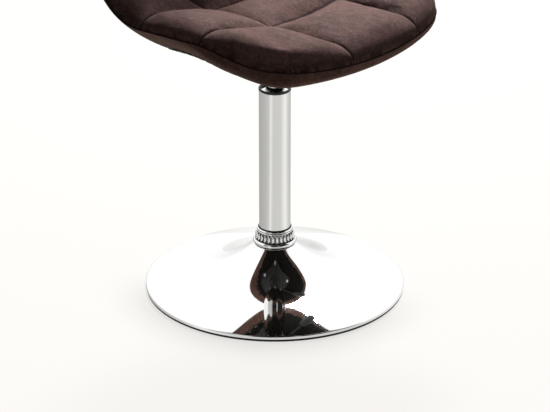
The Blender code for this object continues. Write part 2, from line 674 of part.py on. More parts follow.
def make_seat_plate(finishes, body, hub_wall):
    """Pressed hat section under the seat with its holes."""
    inner = PLATE_WEB_HALF - PLATE_SHEET
    lip_bottom = PLATE_TOP_Z - PLATE_SHEET
    web_top = PLATE_BOTTOM_Z + PLATE_SHEET
    half = [
        (PLATE_LIP_HALF, PLATE_TOP_Z), (PLATE_LIP_HALF, lip_bottom), (PLATE_WEB_HALF, lip_bottom),
        (PLATE_WEB_HALF, PLATE_BOTTOM_Z + PLATE_SHEET), (PLATE_WEB_HALF - PLATE_SHEET, PLATE_BOTTOM_Z),
    ]
    mouth = [
        (inner - PLATE_SHEET, web_top), (inner, web_top + PLATE_SHEET), (inner, lip_bottom),
        (inner, PLATE_TOP_Z),
    ]
    section = half + [(-x, z) for x, z in half[::-1]]
    section += [(-x, z) for x, z in mouth[::-1]] + mouth
    bm = bmesh.new()
    near = [bm.verts.new((x, -PLATE_HALF_LENGTH, z)) for x, z in section]
    far = [bm.verts.new((x, PLATE_HALF_LENGTH, z)) for x, z in section]
    bm.faces.new(near)
    bm.faces.new(far)
    join_rings(bm, near, far, len(section))
    plate = add_object("seat_plate", bm, finishes["black_steel"], body)

    bm = bmesh.new()
    hole = [(0.0, web_top + PLATE_SHEET), (hub_wall + SEAT_GAP, web_top + PLATE_SHEET),
            (hub_wall + SEAT_GAP, PLATE_BOTTOM_Z - PLATE_SHEET), (0.0, PLATE_BOTTOM_Z - PLATE_SHEET)]
    turn(bm, hole, LARGE_SEGMENTS)
    drill = BOLT_RADIUS + SEAT_GAP
    bolt_hole = [(0.0, PLATE_TOP_Z + PLATE_SHEET), (drill, PLATE_TOP_Z + PLATE_SHEET),
                 (drill, lip_bottom - PLATE_SHEET), (0.0, lip_bottom - PLATE_SHEET)]
    for x, y in bolt_places():
        turn(bm, bolt_hole, BOLT_SEGMENTS, (x, y, 0.0))
    cutter = add_object("plate_holes", bm, None, body)
    cut(plate, cutter)

    bm = bmesh.new()
    side = LEVER_BUSH_RADIUS + SEAT_GAP
    side_hole = [(0.0, PLATE_SHEET * 2), (side, PLATE_SHEET * 2), (side, -PLATE_SHEET * 2),
                 (0.0, -PLATE_SHEET * 2)]
    turn(bm, side_hole, SMALL_SEGMENTS)
    cutter = add_object("lever_hole", bm, None, body)
    cutter.location = (LEVER_PIVOT_X, 0.0, LEVER_Z)
    cutter.rotation_euler = (0.0, pi / 2, 0.0)
    cut(plate, cutter)


def bolt_places():
    """Centres of the four bolts that hold the seat plate."""
    return [(sx * BOLT_X, sy * BOLT_Y) for sx in (-1, 1) for sy in (-1, 1)]


def make_fasteners(finishes, body):
    """Bolts, washers and tee nuts between the plate and the board."""
    lip_bottom = PLATE_TOP_Z - PLATE_SHEET
    washer_top = lip_bottom - SEAT_GAP
    head_top = washer_top - WASHER_THICKNESS - SEAT_GAP
    head_bottom = head_top - BOLT_HEAD_HEIGHT
    nut_top = BOARD_TOP_Z
    bolt_top = nut_top - NUT_FLANGE
    edge = BOLT_HEAD_HEIGHT / 3
    bolt = [
        (0.0, bolt_top), (BOLT_RADIUS, bolt_top), (BOLT_RADIUS, head_top), (BOLT_HEAD_RADIUS, head_top),
        (BOLT_HEAD_RADIUS, head_bottom + edge), (BOLT_HEAD_RADIUS - edge, head_bottom),
        (0.0, head_bottom),
    ]
    washer = washer_profile(BOLT_RADIUS + SEAT_GAP, WASHER_RADIUS, washer_top - WASHER_THICKNESS, washer_top)
    bore = BOLT_RADIUS + SEAT_GAP
    barrel_bottom = nut_top - NUT_LENGTH
    flange_bottom = nut_top - NUT_FLANGE
    nut = [
        (bore, nut_top), (NUT_FLANGE_RADIUS, nut_top), (NUT_FLANGE_RADIUS, flange_bottom),
        (NUT_BARREL_RADIUS, flange_bottom), (NUT_BARREL_RADIUS, barrel_bottom), (bore, barrel_bottom),
    ]
    places = [(x, y, 0.0) for x, y in bolt_places()]
    for name, profile in (("plate_bolt", bolt), ("plate_washer", washer), ("tee_nut", nut)):
        bm = bmesh.new()
        turn(bm, profile, BOLT_SEGMENTS)
        add_copies(name, bm, finishes["steel"], body, places)


def make_seat_board(finishes, body):
    """Plywood board under the shell, drilled for the tee nuts."""
    outline = rounded_rectangle(BOARD_HALF_X, BOARD_HALF_Y, BOARD_CORNER, OUTLINE_CORNER_STEPS)
    board = extruded("seat_board", outline, BOARD_BOTTOM_Z, BOARD_TOP_Z, finishes["plywood"], body)
    flange = NUT_FLANGE_RADIUS + SEAT_GAP
    barrel = NUT_BARREL_RADIUS + SEAT_GAP
    above = BOARD_TOP_Z + NUT_FLANGE
    below = BOARD_BOTTOM_Z - NUT_FLANGE
    step = BOARD_TOP_Z - NUT_FLANGE - SEAT_GAP
    hole = [(0.0, above), (flange, above), (flange, step), (barrel, step), (barrel, below), (0.0, below)]
    bm = bmesh.new()
    for x, y in bolt_places():
        turn(bm, hole, BOLT_SEGMENTS, (x, y, 0.0))
    cut(board, add_object("nut_holes", bm, None, body))


def make_lever(finishes, body):
    """Cranked rod and its grip. The pivot is the body's origin."""
    points = [
        (-LEVER_PIVOT_X - LEVER_TAIL, 0.0), (LEVER_CRANK_START, 0.0),
        (LEVER_CRANK_END, -LEVER_CRANK_DROP), (LEVER_REACH, -LEVER_CRANK_DROP),
    ]
    line = bpy.data.curves.new("lever_rod", "CURVE")
    line.dimensions = "3D"
    line.bevel_depth = LEVER_RADIUS
    line.bevel_resolution = 2
    line.use_fill_caps = True
    route = [points[0]]
    for before, bend, after in zip(points, points[1:], points[2:]):
        route += round_bend(before, bend, after, 2 * LEVER_RADIUS)
    route.append(points[-1])
    spline = line.splines.new("POLY")
    spline.points.add(len(route) - 1)
    for place, (x, z) in zip(spline.points, route):
        place.co = (x, 0.0, z, 1.0)
    line.materials.append(finishes["black_steel"])
    place_object("lever_rod", line, body)

    start = LEVER_REACH - LEVER_GRIP_OVERLAP
    bm = bmesh.new()
    sections = []
    for share, size in LEVER_GRIP_SECTIONS:
        x = start + LEVER_GRIP_LENGTH * share
        height = LEVER_GRIP_HALF_HEIGHT * (1 - LEVER_GRIP_FLATNESS * (1 - size))
        section = []
        for k in range(LEVER_GRIP_SIDES):
            angle = 2 * pi * k / LEVER_GRIP_SIDES
            y = LEVER_GRIP_HALF_WIDTH * size * cos(angle)
            section.append(bm.verts.new((x, y, height * sin(angle) - LEVER_CRANK_DROP)))
        sections.append(section)
    for near, far in zip(sections, sections[1:]):
        join_rings(bm, near, far, LEVER_GRIP_SIDES)
    bm.faces.new(sections[0])
    bm.faces.new(sections[-1])
    grip = add_object("lever_grip", bm, finishes["black_plastic"], body)

    bore = LEVER_RADIUS + SEAT_GAP
    depth = LEVER_GRIP_OVERLAP + SEAT_GAP
    bm = bmesh.new()
    turn(bm, [(0.0, depth), (bore, depth), (bore, -bore), (0.0, -bore)], LEVER_GRIP_SIDES)
    cutter = add_object("grip_bore", bm, None, body)
    cutter.location = (start, 0.0, -LEVER_CRANK_DROP)
    cutter.rotation_euler = (0.0, pi / 2, 0.0)
    cut(grip, cutter)


def round_bend(before, bend, after, trim):
    """Points of a smooth turn in place of a corner, trimmed back on both legs."""
    def toward(other):
        dx = other[0] - bend[0]
        dz = other[1] - bend[1]
        length = sqrt(dx * dx + dz * dz)
        return bend[0] + dx * trim / length, bend[1] + dz * trim / length

    start = toward(before)
    end = toward(after)
    points = []
    for i in range(LEVER_BEND_STEPS + 1):
        t = i / LEVER_BEND_STEPS
        a = (1 - t) ** 2
        b = 2 * t * (1 - t)
        c = t * t
        points.append((a * start[0] + b * bend[0] + c * end[0], a * start[1] + b * bend[1] + c * end[1]))
    return points


def make_lever_bush(finishes, body):
    """Flanged bush in the plate's side wall, with a bore that flares both ways."""
    half = LEVER_BUSH_LENGTH / 2
    waist = LEVER_RADIUS + RUNNING_GAP
    flare = waist + half * sin(LEVER_SWING) + RUNNING_GAP
    flange = PLATE_SHEET / 2 + SEAT_GAP
    profile = [
        (flare, half), (LEVER_BUSH_RIM, half), (LEVER_BUSH_RIM, flange), (LEVER_BUSH_RADIUS, flange),
        (LEVER_BUSH_RADIUS, -half), (flare, -half), (waist, 0.0),
    ]
    bm = bmesh.new()
    turn(bm, profile, SMALL_SEGMENTS)
    bush = add_object("lever_bush", bm, finishes["black_plastic"], body)
    bush.location = (LEVER_PIVOT_X, 0.0, LEVER_Z)
    bush.rotation_euler = (0.0, pi / 2, 0.0)


def make_pin(finishes, body):
    """Valve pin in the top of the cylinder."""
    dome = PIN_RADIUS / 2
    profile = [
        (0.0, PIN_TOP_Z), (PIN_RADIUS - dome, PIN_TOP_Z), (PIN_RADIUS, PIN_TOP_Z - dome),
        (PIN_RADIUS, PIN_TOP_Z - PIN_LENGTH), (0.0, PIN_TOP_Z - PIN_LENGTH),
    ]
    turned("release_pin", profile, BOLT_SEGMENTS, finishes["steel"], body)


def smooth_step(value, low, high):
    """Blend from 0 to 1 between two values."""
    share = min(max((value - low) / (high - low), 0.0), 1.0)
    return share * share * (3 - 2 * share)


def centre_line(s):
    """Point of the rim seam's centre line and its upward normal, at a length from the front."""
    if s < BEND_START:
        rise = max(FRONT_RISE_LENGTH - s, 0.0) / FRONT_RISE_LENGTH
        return Vector((0.0, s - SEAT_FRONT, SEAT_Z + FRONT_RISE * rise * rise)), Vector((0.0, 0.0, 1.0))
    angle = min((s - BEND_START) / BEND_RADIUS, BEND_ANGLE)
    along = max(s - BEND_START - BEND_LENGTH, 0.0)
    y = BEND_START_Y + BEND_RADIUS * sin(angle) + along * cos(angle)
    z = SEAT_Z + BEND_RADIUS * (1 - cos(angle)) + along * sin(angle)
    return Vector((0.0, y, z)), Vector((0.0, -sin(angle), cos(angle)))


def half_width(s):
    """Half width of the shell at a length from the front."""
    blend = smooth_step(s, WIDTH_BLEND_START, WIDTH_BLEND_END)
    return SEAT_HALF_WIDTH + (BACK_HALF_WIDTH - SEAT_HALF_WIDTH) * blend


def seam_surface(u, s):
    """Point of the surface through the rim seam. u runs from -1 to 1 across the shell."""
    left = 1 - CORNER_ROUNDING
    side_rounding = left / (1 + left * CORNER_SPREAD / 2)
    across = sqrt(1 - CORNER_ROUNDING * u * u)
    corner = 0.0
    placed = s
    if s < FRONT_CORNER_LENGTH:
        corner = 1 - s / FRONT_CORNER_LENGTH
        placed = FRONT_CORNER_LENGTH * (1 - corner * across)
    top_start = SHELL_LENGTH - TOP_CORNER_LENGTH
    if s > top_start:
        corner = (s - top_start) / TOP_CORNER_LENGTH
        placed = top_start + TOP_CORNER_LENGTH * corner * across
    shrink = sqrt(1 - side_rounding * corner * corner * abs(u) ** CORNER_SPREAD)
    width = half_width(placed)
    x = u * width * shrink
    point, normal = centre_line(placed)
    height = FRONT_LIFT + (SIDE_LIFT - FRONT_LIFT) * smooth_step(placed, LIFT_START, LIFT_END)
    lift = height * abs(x / width) ** LIFT_POWER
    return point + normal * lift + Vector((x, 0.0, 0.0))


def seam_normal(u, s):
    """Normal of that surface, on the sitter's side."""
    step = 0.002
    u_low = max(u - step, -1.0)
    u_high = min(u + step, 1.0)
    s_low = max(s - step, 0.0)
    s_high = min(s + step, SHELL_LENGTH)
    across = seam_surface(u_high, s) - seam_surface(u_low, s)
    along = seam_surface(u, s_high) - seam_surface(u, s_low)
    return across.cross(along).normalized()


def quilt_lines():
    """Grid lines of the upholstery: values across and along, each with its place in its panel."""
    seam = QUILT_SEAM_X / SEAT_HALF_WIDTH
    side = [(-1 + (1 - seam) * a, a) for a in EDGE_PANEL_PLACES]
    across = side + [(-seam + 2 * seam * a, a) for a in MIDDLE_PANEL_PLACES]
    across.append((seam, 0.0))
    across += [(-u, a) for u, a in side[::-1]]
    along = [(QUILT_FIRST_ROW * a, a) for a in EDGE_PANEL_PLACES]
    for row in range(QUILT_ROWS - 2):
        start = QUILT_FIRST_ROW + QUILT_ROW * row
        along += [(start + QUILT_ROW * a, a) for a in MIDDLE_PANEL_PLACES]
    last = QUILT_FIRST_ROW + QUILT_ROW * (QUILT_ROWS - 2)
    along.append((last, 0.0))
    along += [(SHELL_LENGTH - (SHELL_LENGTH - last) * a, a) for a in EDGE_PANEL_PLACES[::-1]]
    return across, along


def rim_distance(u, s):
    """About how far a point of the shell lies from the rim."""
    side = (1 - abs(u)) * half_width(s)
    ends = min(s, SHELL_LENGTH - s)
    if side < 1e-9 or ends < 1e-9:
        return 0.0
    return (side ** -4 + ends ** -4) ** -0.25


def rounded(distance, radius):
    """Share of the full thickness at a distance from the rim, as a quarter circle."""
    left = 1 - min(distance / radius, 1.0)
    return sqrt(max(1 - left * left, 0.0))


def puff(place):
    """Swelling of a quilted panel across one of its sides."""
    return sqrt(max(4 * place * (1 - place), 0.0))


def pad_thickness(u, s, place_u, place_s):
    """Height of the padding above the seam surface."""
    edge = rounded(rim_distance(u, s), PAD_EDGE_RADIUS)
    return PAD_SEAM_THICKNESS * edge + PAD_PUFF * puff(place_u) * puff(place_s)


def swell(distance, length, power):
    """Share of the full depth at a distance from an edge."""
    left = 1 - min(max(distance, 0.0) / length, 1.0)
    return (1 - left * left) ** power


def cover_thickness(u, s):
    """Depth of the outer cover below the seam surface.

    The cover leaves the front rim steeply and the side rims at a low angle.
    """
    back = smooth_step(s, BEND_START, BEND_START + BEND_LENGTH)
    depth = DISH_DEPTH + (BACK_DEPTH - DISH_DEPTH) * back
    length = DISH_EDGE_LENGTH + (BACK_EDGE_LENGTH - DISH_EDGE_LENGTH) * back
    side = smooth_step(s, DISH_SIDE_START, DISH_SIDE_END)
    power = DISH_FRONT_POWER + (DISH_SIDE_POWER - DISH_FRONT_POWER) * side
    power += (BACK_EDGE_POWER - DISH_SIDE_POWER) * back
    return depth * swell(rim_distance(u, s), length, power)


def layer(name, upper, lower, inset, finish, parent):
    """A closed layer of the shell between two heights above the seam surface.

    upper and lower take the grid indices and the grid's values. The layers share one grid and
    one split into triangles, so that they keep the same gap all over.
    """
    across, along = quilt_lines()
    columns = range(inset, len(across) - inset)
    rows = range(inset, len(along) - inset)
    bm = bmesh.new()
    sheets = []
    for height in (upper, lower):
        sheet = {}
        for i in columns:
            for j in rows:
                u, place_u = across[i]
                s, place_s = along[j]
                offset = height(i, j, u, s, place_u, place_s)
                sheet[i, j] = seam_surface(u, s) + seam_normal(u, s) * offset
        sheets.append(sheet)
    tops = {key: bm.verts.new(point) for key, point in sheets[0].items()}
    lows = {}
    for key, point in sheets[1].items():
        shared = (point - sheets[0][key]).length < 1e-7
        lows[key] = tops[key] if shared else bm.verts.new(point)
    middle_i = len(across) // 2
    middle_j = len(along) // 2
    for i in columns[:-1]:
        for j in rows[:-1]:
            corners = [(i, j), (i + 1, j), (i + 1, j + 1), (i, j + 1)]
            turned_corners = corners[1:] + corners[:1]
            ordered = corners if (i < middle_i) == (j < middle_j) else turned_corners
            for sheet in (tops, lows):
                a, b, c, d = (sheet[key] for key in ordered)
                bm.faces.new((a, b, c))
                bm.faces.new((a, c, d))
    border = [(i, rows[0]) for i in columns]
    border += [(columns[-1], j) for j in rows[1:]]
    border += [(i, rows[-1]) for i in columns[-2::-1]]
    border += [(columns[0], j) for j in rows[-2:0:-1]]
    for key, following in zip(border, border[1:] + border[:1]):
        if tops[key] is not lows[key]:
            bm.faces.new((tops[key], tops[following], lows[following]))
            bm.faces.new((tops[key], lows[following], lows[key]))
    return add_object(name, bm, finish, parent, 40)


def make_upholstery(finishes, body):
    """Quilted pad, plywood shell and outer cover."""
    across, along = quilt_lines()

    def inside(i, j):
        far_i = len(across) - 1 - SHELL_INSET_CELLS
        far_j = len(along) - 1 - SHELL_INSET_CELLS
        return SHELL_INSET_CELLS <= i <= far_i and SHELL_INSET_CELLS <= j <= far_j

    def pad_top(i, j, u, s, place_u, place_s):
        return SEAT_GAP / 2 + pad_thickness(u, s, place_u, place_s)

    def pad_bottom(i, j, u, s, place_u, place_s):
        return SEAT_GAP / 2

    def shell_top(i, j, u, s, place_u, place_s):
        return SHELL_TOP

    def shell_bottom(i, j, u, s, place_u, place_s):
        return SHELL_BOTTOM

    def cover_top(i, j, u, s, place_u, place_s):
        return RECESS if inside(i, j) else SHELL_TOP

    def cover_bottom(i, j, u, s, place_u, place_s):
        return SHELL_TOP - cover_thickness(u, s)

    layer("quilted_pad", pad_top, pad_bottom, 0, finishes["suede"], body)
    layer("inner_shell", shell_top, shell_bottom, SHELL_INSET_CELLS, finishes["plywood"], body)
    cover = layer("outer_cover", cover_top, cover_bottom, 0, finishes["suede"], body)

    outline = rounded_rectangle(BOARD_HALF_X + SEAT_GAP, BOARD_HALF_Y + SEAT_GAP, BOARD_CORNER,
                                OUTLINE_CORNER_STEPS)
    pocket_top = SEAT_Z + SHELL_THICKNESS
    pocket = extruded("board_pocket", outline, BOARD_BOTTOM_Z - SEAT_GAP, pocket_top, None, body)
    cut(cover, pocket)
    outline = rounded_rectangle(PLATE_LIP_HALF + OPENING_MARGIN, PLATE_HALF_LENGTH + OPENING_MARGIN,
                                OPENING_CORNER, OUTLINE_CORNER_STEPS)
    low = SEAT_Z - 2 * DISH_DEPTH
    opening = extruded("plate_opening", outline, low, BOARD_BOTTOM_Z + SEAT_GAP, None, body)
    cut(cover, opening)


def main():
    """Build the chair, body by body."""
    clear_scene()
    finishes = make_materials()
    chair = empty("chair", None, (0.0, COLUMN_Y, 0.0))
    foot = empty("foot", chair)
    bearing = empty("bearing", chair)
    rod = empty("rod", chair)
    seat = empty("seat", rod)
    lever = empty("lever", seat, (LEVER_PIVOT_X, 0.0, LEVER_Z))
    valve = empty("valve", seat)

    make_foot(finishes, foot)
    make_column(finishes, foot)
    make_bearing(finishes, bearing)
    make_rod(finishes, rod)
    hub_wall = make_cylinder(finishes, seat)
    make_seat_plate(finishes, seat, hub_wall)
    make_fasteners(finishes, seat)
    make_seat_board(finishes, seat)
    make_upholstery(finishes, seat)
    make_lever_bush(finishes, seat)
    make_lever(finishes, lever)
    make_pin(finishes, valve)


main()
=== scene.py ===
"""Looks of the quilted swivel chair: polished turned metal, stuffed suede panels and a white studio.

Metres, +Z up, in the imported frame. The sitter faces -Y, and -X is the sitter's right-hand side.
Pieces are modelled about the column's axis and moved to it when they are finished.
"""

from math import atan2, cos, degrees, exp, hypot, pi, radians, sin, sqrt

import bmesh
import bpy
from mathutils import Matrix, Vector


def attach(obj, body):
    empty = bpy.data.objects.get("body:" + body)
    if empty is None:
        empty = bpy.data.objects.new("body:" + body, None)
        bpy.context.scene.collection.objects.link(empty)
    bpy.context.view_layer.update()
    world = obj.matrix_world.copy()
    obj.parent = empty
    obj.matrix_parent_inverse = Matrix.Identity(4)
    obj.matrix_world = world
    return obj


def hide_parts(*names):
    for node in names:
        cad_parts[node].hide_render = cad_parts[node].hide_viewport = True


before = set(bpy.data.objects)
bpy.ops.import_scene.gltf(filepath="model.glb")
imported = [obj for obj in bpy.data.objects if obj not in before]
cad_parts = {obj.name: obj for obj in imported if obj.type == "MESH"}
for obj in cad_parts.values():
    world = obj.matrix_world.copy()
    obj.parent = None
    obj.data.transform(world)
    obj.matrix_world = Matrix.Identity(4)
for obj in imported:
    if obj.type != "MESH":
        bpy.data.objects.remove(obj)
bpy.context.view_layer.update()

# Place of the column's axis, and the usual number of steps round a turned piece
COLUMN_Y = -0.0318
SPIN_STEPS = 160

# Camera, worked out from the round foot and the upright column
CAMERA_PLACE = (-2.502, -1.966, 1.524)
CAMERA_PITCH = radians(23.72)
CAMERA_TURN = radians(-52.3)
CAMERA_LENS = 144.0
CAMERA_SENSOR = 36.0

# Foot, with its waist a little higher than in the part's source
FOOT_RADIUS = 0.205
FOOT_SHEET = 0.0016
FOOT_MOUTH = (0.0330, 0.0745)
FOOT_MOUTH_SLOPE = radians(39.8)
FOOT_MOUTH_REACH = 0.0503
FOOT_WAIST = (0.1340, 0.0254)
FOOT_WAIST_SLOPE = radians(11.8)
FOOT_WAIST_REACH = 0.0312
FOOT_OUTER_REACH = 0.0258
FOOT_RIM = (0.205, 0.0042)
FOOT_RIM_SLOPE = radians(14.6)
FOOT_RIM_REACH = 0.0166
FOOT_RIM_ROUND = 0.0019
FOOT_RIM_WALL = 0.0031
FOOT_OUTSIDE_STEPS = 64
FOOT_INSIDE_STEPS = 12
FOOT_SPIN_STEPS = 400
RING_HEIGHT = 0.0039
RING_WIDTH = 0.0175
RING_INSET = 0.0006
RING_LOW_EDGE = 0.0010
RING_HIGH_EDGE = 0.0004
RING_GROOVE = 0.0009
RING_GROOVE_PLACES = (0.33, 0.66)
RING_SPIN_STEPS = 200
BALLAST_RADIUS = 0.1700
BALLAST_LIP_RADIUS = 0.1895
BALLAST_LIP_TOP_Z = 0.0062
BALLAST_HOLE = 0.020
BALLAST_BOTTOM_Z = 0.0042
BALLAST_TOP_Z = 0.0102
BALLAST_EDGE = 0.0012
BALLAST_GROOVE = 0.0030
BALLAST_GROOVE_RADII = (0.150, 0.095)

# Collar: its rings and its band of beads by their height above its underside
COLLAR_BOTTOM_Z = 0.0748
COLLAR_HEIGHT = 0.0261
COLLAR_BORE = 0.0255
COLLAR_FLANGE_RADIUS = 0.0348
COLLAR_FLANGE_HEIGHT = 0.0074
COLLAR_RING_RADIUS = 0.0270
COLLAR_RING_ROUND = 0.0015
COLLAR_RING_HEIGHTS = (0.0214, 0.0245)
FLUTE_COUNT = 28
FLUTE_STEPS = 16
BAND_SINK = 0.0004
BAND_HEAD = 0.0196
BAND_LOW_RADIUS = 0.0286
BAND_HIGH_RADIUS = 0.0264
BAND_STEPS = 22
BEAD_RISE = 0.0034
BEAD_WIDTH = 0.97
BEAD_HALF_HEIGHT = 0.49
# Painted shade in the hollows between the beads: its reach, range of openness and tone
HOLLOW_SHADE_REACH = 0.004
HOLLOW_SHADE_RANGE = (0.45, 0.85)
HOLLOW_SHADE_TONE = (0.045, 0.044, 0.043)
SEAL_BOTTOM = 0.0264
SEAL_RADIUS = 0.0262
SEAL_HEIGHT = 0.0010
SEAL_EDGE = 0.0004
SEAL_GAP = 0.0003

# Column and gas lift
TUBE_RADIUS = 0.025
TUBE_WALL = 0.0016
TUBE_TOP_Z = 0.330
TUBE_MIDDLE_Z = 0.200
TUBE_BOTTOM_Z = 0.020
TUBE_EDGE = 0.0006
TUBE_TAPER_Z = 0.072
TUBE_FOOT_RADIUS = 0.0240
TUBE_HOLE = 0.0056
TUBE_FLOOR_Z = 0.023
BUSH_RADIUS = 0.0231
BUSH_BORE = 0.0143
BUSH_TOP_Z = 0.3230
BUSH_LENGTH = 0.080
BUSH_EDGE = 0.0012
BUSH_SPIN_STEPS = 96
MOUTH_RING_TOP_Z = 0.3336
MOUTH_RING_BORE = 0.0151
MOUTH_RING_GAP = 0.0002
MOUTH_RING_LIFT = 0.0001
MOUTH_WASHER_RADIUS = 0.0222
MOUTH_WASHER_BORE = 0.0146
MOUTH_WASHER_Z = 0.3283
MOUTH_WASHER_THICKNESS = 0.0016
MOUTH_WASHER_DISH = 0.0004
MOUTH_WASHER_EDGE = 0.0003
MOUTH_WASHER_BORE_EDGE = 0.0004
MOUTH_SPIN_STEPS = 120
CYLINDER_RADIUS = 0.014
CYLINDER_BORE = 0.0124
CYLINDER_BOTTOM_Z = 0.0425
CYLINDER_TOP_Z = 0.3795
CYLINDER_TOP_RADIUS = 0.0130
CYLINDER_TOP_FACE_RADIUS = 0.0126
CYLINDER_TOP_EDGE = 0.0006
CYLINDER_TOP_BORE = 0.0114
CYLINDER_TOP_WALL = 0.012
CYLINDER_PIN_BORE = 0.0029
CYLINDER_SPIN_STEPS = 96

# Mount under the seat, as in the part's source
PLATE_BOTTOM_Z = 0.37625
PLATE_EDGE = 0.0007
HUB_BOTTOM_Z = 0.349
HUB_RISE = 0.0045
HUB_WALL_RADIUS = 0.0179
HUB_WALL_EDGE = 0.0010
HUB_BORE_LOW = 0.0143
HUB_BORE_HIGH = 0.0133
HUB_BORE_EDGE = 0.0006
WELD_SIZE = 0.0034
WELD_SINK = 0.0003
WELD_RIPPLES = 34
WELD_RIPPLE = 0.00035
WELD_RIPPLE_STEPS = 8
BOLT_X = 0.061
BOLT_Y = 0.052
BOLT_RADIUS = 0.004
BOLT_EDGE = 0.0006
BOLT_HEAD_RADIUS = 0.0070
BOLT_HEAD_HEIGHT = 0.0036
BOLT_HEAD_TOP_Z = 0.40325
BOLT_FACE_RADIUS = 0.0058
BOLT_SHANK = 0.0212
BOLT_SPIN_STEPS = 32
WASHER_RADIUS = 0.0085
WASHER_THICKNESS = 0.0014
WASHER_GAP = 0.0003
WASHER_EDGE = 0.0004
WASHER_BORE_EDGE = 0.0003
WASHER_SPIN_STEPS = 48
PADDLE_EDGE = 0.0008

# Shell, as in the part's source, apart from a cover that is a little fuller
SEAT_FRONT = 0.213
SEAT_Z = 0.4355
FRONT_RISE = 0.002
FRONT_RISE_LENGTH = 0.150
BEND_START_Y = 0.060
BEND_RADIUS = 0.135
BEND_ANGLE = radians(76)
BACK_LENGTH = 0.300
SEAT_HALF_WIDTH = 0.243
BACK_HALF_WIDTH = 0.212
WIDTH_BLEND_START = 0.270
WIDTH_BLEND_END = 0.720
FRONT_CORNER_LENGTH = 0.180
TOP_CORNER_LENGTH = 0.190
CORNER_ROUNDING = 0.45
CORNER_SPREAD = 1.2
FRONT_LIFT = 0.018
SIDE_LIFT = 0.0445
LIFT_START = 0.050
LIFT_END = 0.170
LIFT_POWER = 1.8
NORMAL_STEP = 0.002
QUILT_SEAM_X = 0.087
QUILT_FIRST_ROW = 0.156
QUILT_ROW = 0.115
QUILT_ROWS = 6
PAD_SEAM_THICKNESS = 0.0230
PAD_PUFF = 0.018
PAD_EDGE_RADIUS = 0.036
DISH_DEPTH = 0.041
BACK_DEPTH = 0.030
DISH_EDGE_LENGTH = 0.170
DISH_FRONT_POWER = 0.42
DISH_SIDE_POWER = 1.12
DISH_SIDE_START = 0.120
DISH_SIDE_END = 0.270
BACK_EDGE_LENGTH = 0.090
BACK_EDGE_POWER = 0.7
RIM_GAP = 0.00015

BEND_START = SEAT_FRONT + BEND_START_Y
BEND_LENGTH = BEND_RADIUS * BEND_ANGLE
SHELL_LENGTH = BEND_START + BEND_LENGTH + BACK_LENGTH

# Cloth of the panels while it is filled
FILLING_CLOTH = {
    "quality": 6,
    "mass": 0.25,
    "tension_stiffness": 12.0,
    "compression_stiffness": 12.0,
    "shear_stiffness": 6.0,
    "bending_stiffness": 1.5,
    "vertex_group_mass": "sewn",
    "use_pressure": True,
    "uniform_pressure_force": 4.0,
    "shrink_min": -0.006,
}
FILLING_FRAMES = 20
FILLING_CAP = 0.006
SLACK_PUFF = 0.84
CALM_RIM = 0.030

# Sewing of the upholstery
PANEL_CELLS = 24
PANEL_CROWDING = 0.62
# Width of the painted shade along the seams and the rim
SEAM_SHADE_WIDTH = 0.0024
SEWN_SHADE = 0.98
SEAM_CREASE = 0.6
STITCH_PITCH = 0.0042
STITCH_LENGTH = 0.0031
STITCH_RADIUS = 0.00045
STITCH_LIFT = 0.0004
STITCH_STEPS_ALONG = 900
STITCH_STEPS_ACROSS = 600
PIPING_RADIUS = 0.0008
PIPING_STEPS = 120

# Underside of the seat
OPENING_HALF = (0.079, 0.082)
OPENING_CORNER = 0.018
OPENING_CEILING_Z = 0.4100
DUST_CLOTH_MIDDLE = 0.1740
DUST_CLOTH_HALF_LENGTH = 0.1450
DUST_CLOTH_HALF_WIDTH = 0.85
DUST_CLOTH_ROUNDING = 0.42
DUST_CLOTH_HOLE = (0.0745, 0.0775)
DUST_CLOTH_PROUD = 0.0005
DUST_CLOTH_THICKNESS = 0.0006
DUST_CLOTH_CELLS = 64
STAPLE_COUNT = 44
STAPLE_INSET = 0.955
STAPLE_TURN = 0.02
STAPLE_SIZE = (0.0100, 0.0011, 0.0007)
STAPLE_EDGE = 0.0002

# Studio floor, and its brightness in metal by degrees to the right of the camera
FLOOR_HALF = 40.0
FLOOR_GLOW = 0.92
FLOOR_TURN = radians(142.3)
FLOOR_PANELS = ((-180, 1.05), (-166, 0.90), (-146, 0.46), (-115, 0.48), (-60, 0.56), (-38, 0.66),
                (-26, 0.92), (-8, 0.68), (40, 0.70), (75, 1.0), (99, 0.76), (124, 0.60), (146, 0.62),
                (166, 0.90), (180, 1.05))
PAPER_BOUNCE = (0.46, 0.415, 0.33)
PAPER_SHOWN = (0.94, 0.925, 0.90)
GLOW_IN_METAL = (1.0, 0.995, 0.978)
GLOW_SHOWN = (1.0, 0.977, 0.950)
# Painted contact shadow before the foot: its side, range of bearing, reach and depth
SHADE_SIDE = (-0.880, -0.475, 0.0)
SHADE_RANGE = (-0.20, 0.70)
SHADE_REACH = 0.090
SHADE_DEPTH = 0.20

# Surroundings, with a dark side behind the camera
UPRIGHT = (0.0, 0.0, 1.0)
PANEL_HEAD = 0.30
PANEL_GAP = (0.70, 0.88)
DARK_SIDE = (-0.610, -0.671, 0.423)
DARK_RANGE = (0.36, 0.50)
DARK_DEPTH = 0.985
FILL_SIDE = (0.612, -0.200, 0.765)
FILL_RANGE = (-0.25, 0.95)
WORLD_FILL = 0.20
WORLD_GLOSS = 1.15

# Strip lamps: bearing, half width, level, and the heights where the foot and the head fade
STRIPS = (
    ((-0.966, 0.259, 0.0), 0.34, 0.54, (0.55, 0.62), (0.95, 0.85)),
    ((-0.983, -0.186, 0.0), 0.16, 0.65, (0.0, 0.02), (0.50, 0.40)),
    ((-0.489, -0.872, 0.0), 0.030, 1.0, (0.50, 0.56), (0.92, 0.86)),
)
STRIP_CORE = 0.6
STRIP_AHEAD = (0.05, 0.15)

# Soft lamp behind the chair
KEY_PLACE = (1.45, 0.83, 2.02)
KEY_TARGET = (0.0, 0.0, 0.45)
KEY_SIZE = 0.45
KEY_WATTS = 92.0

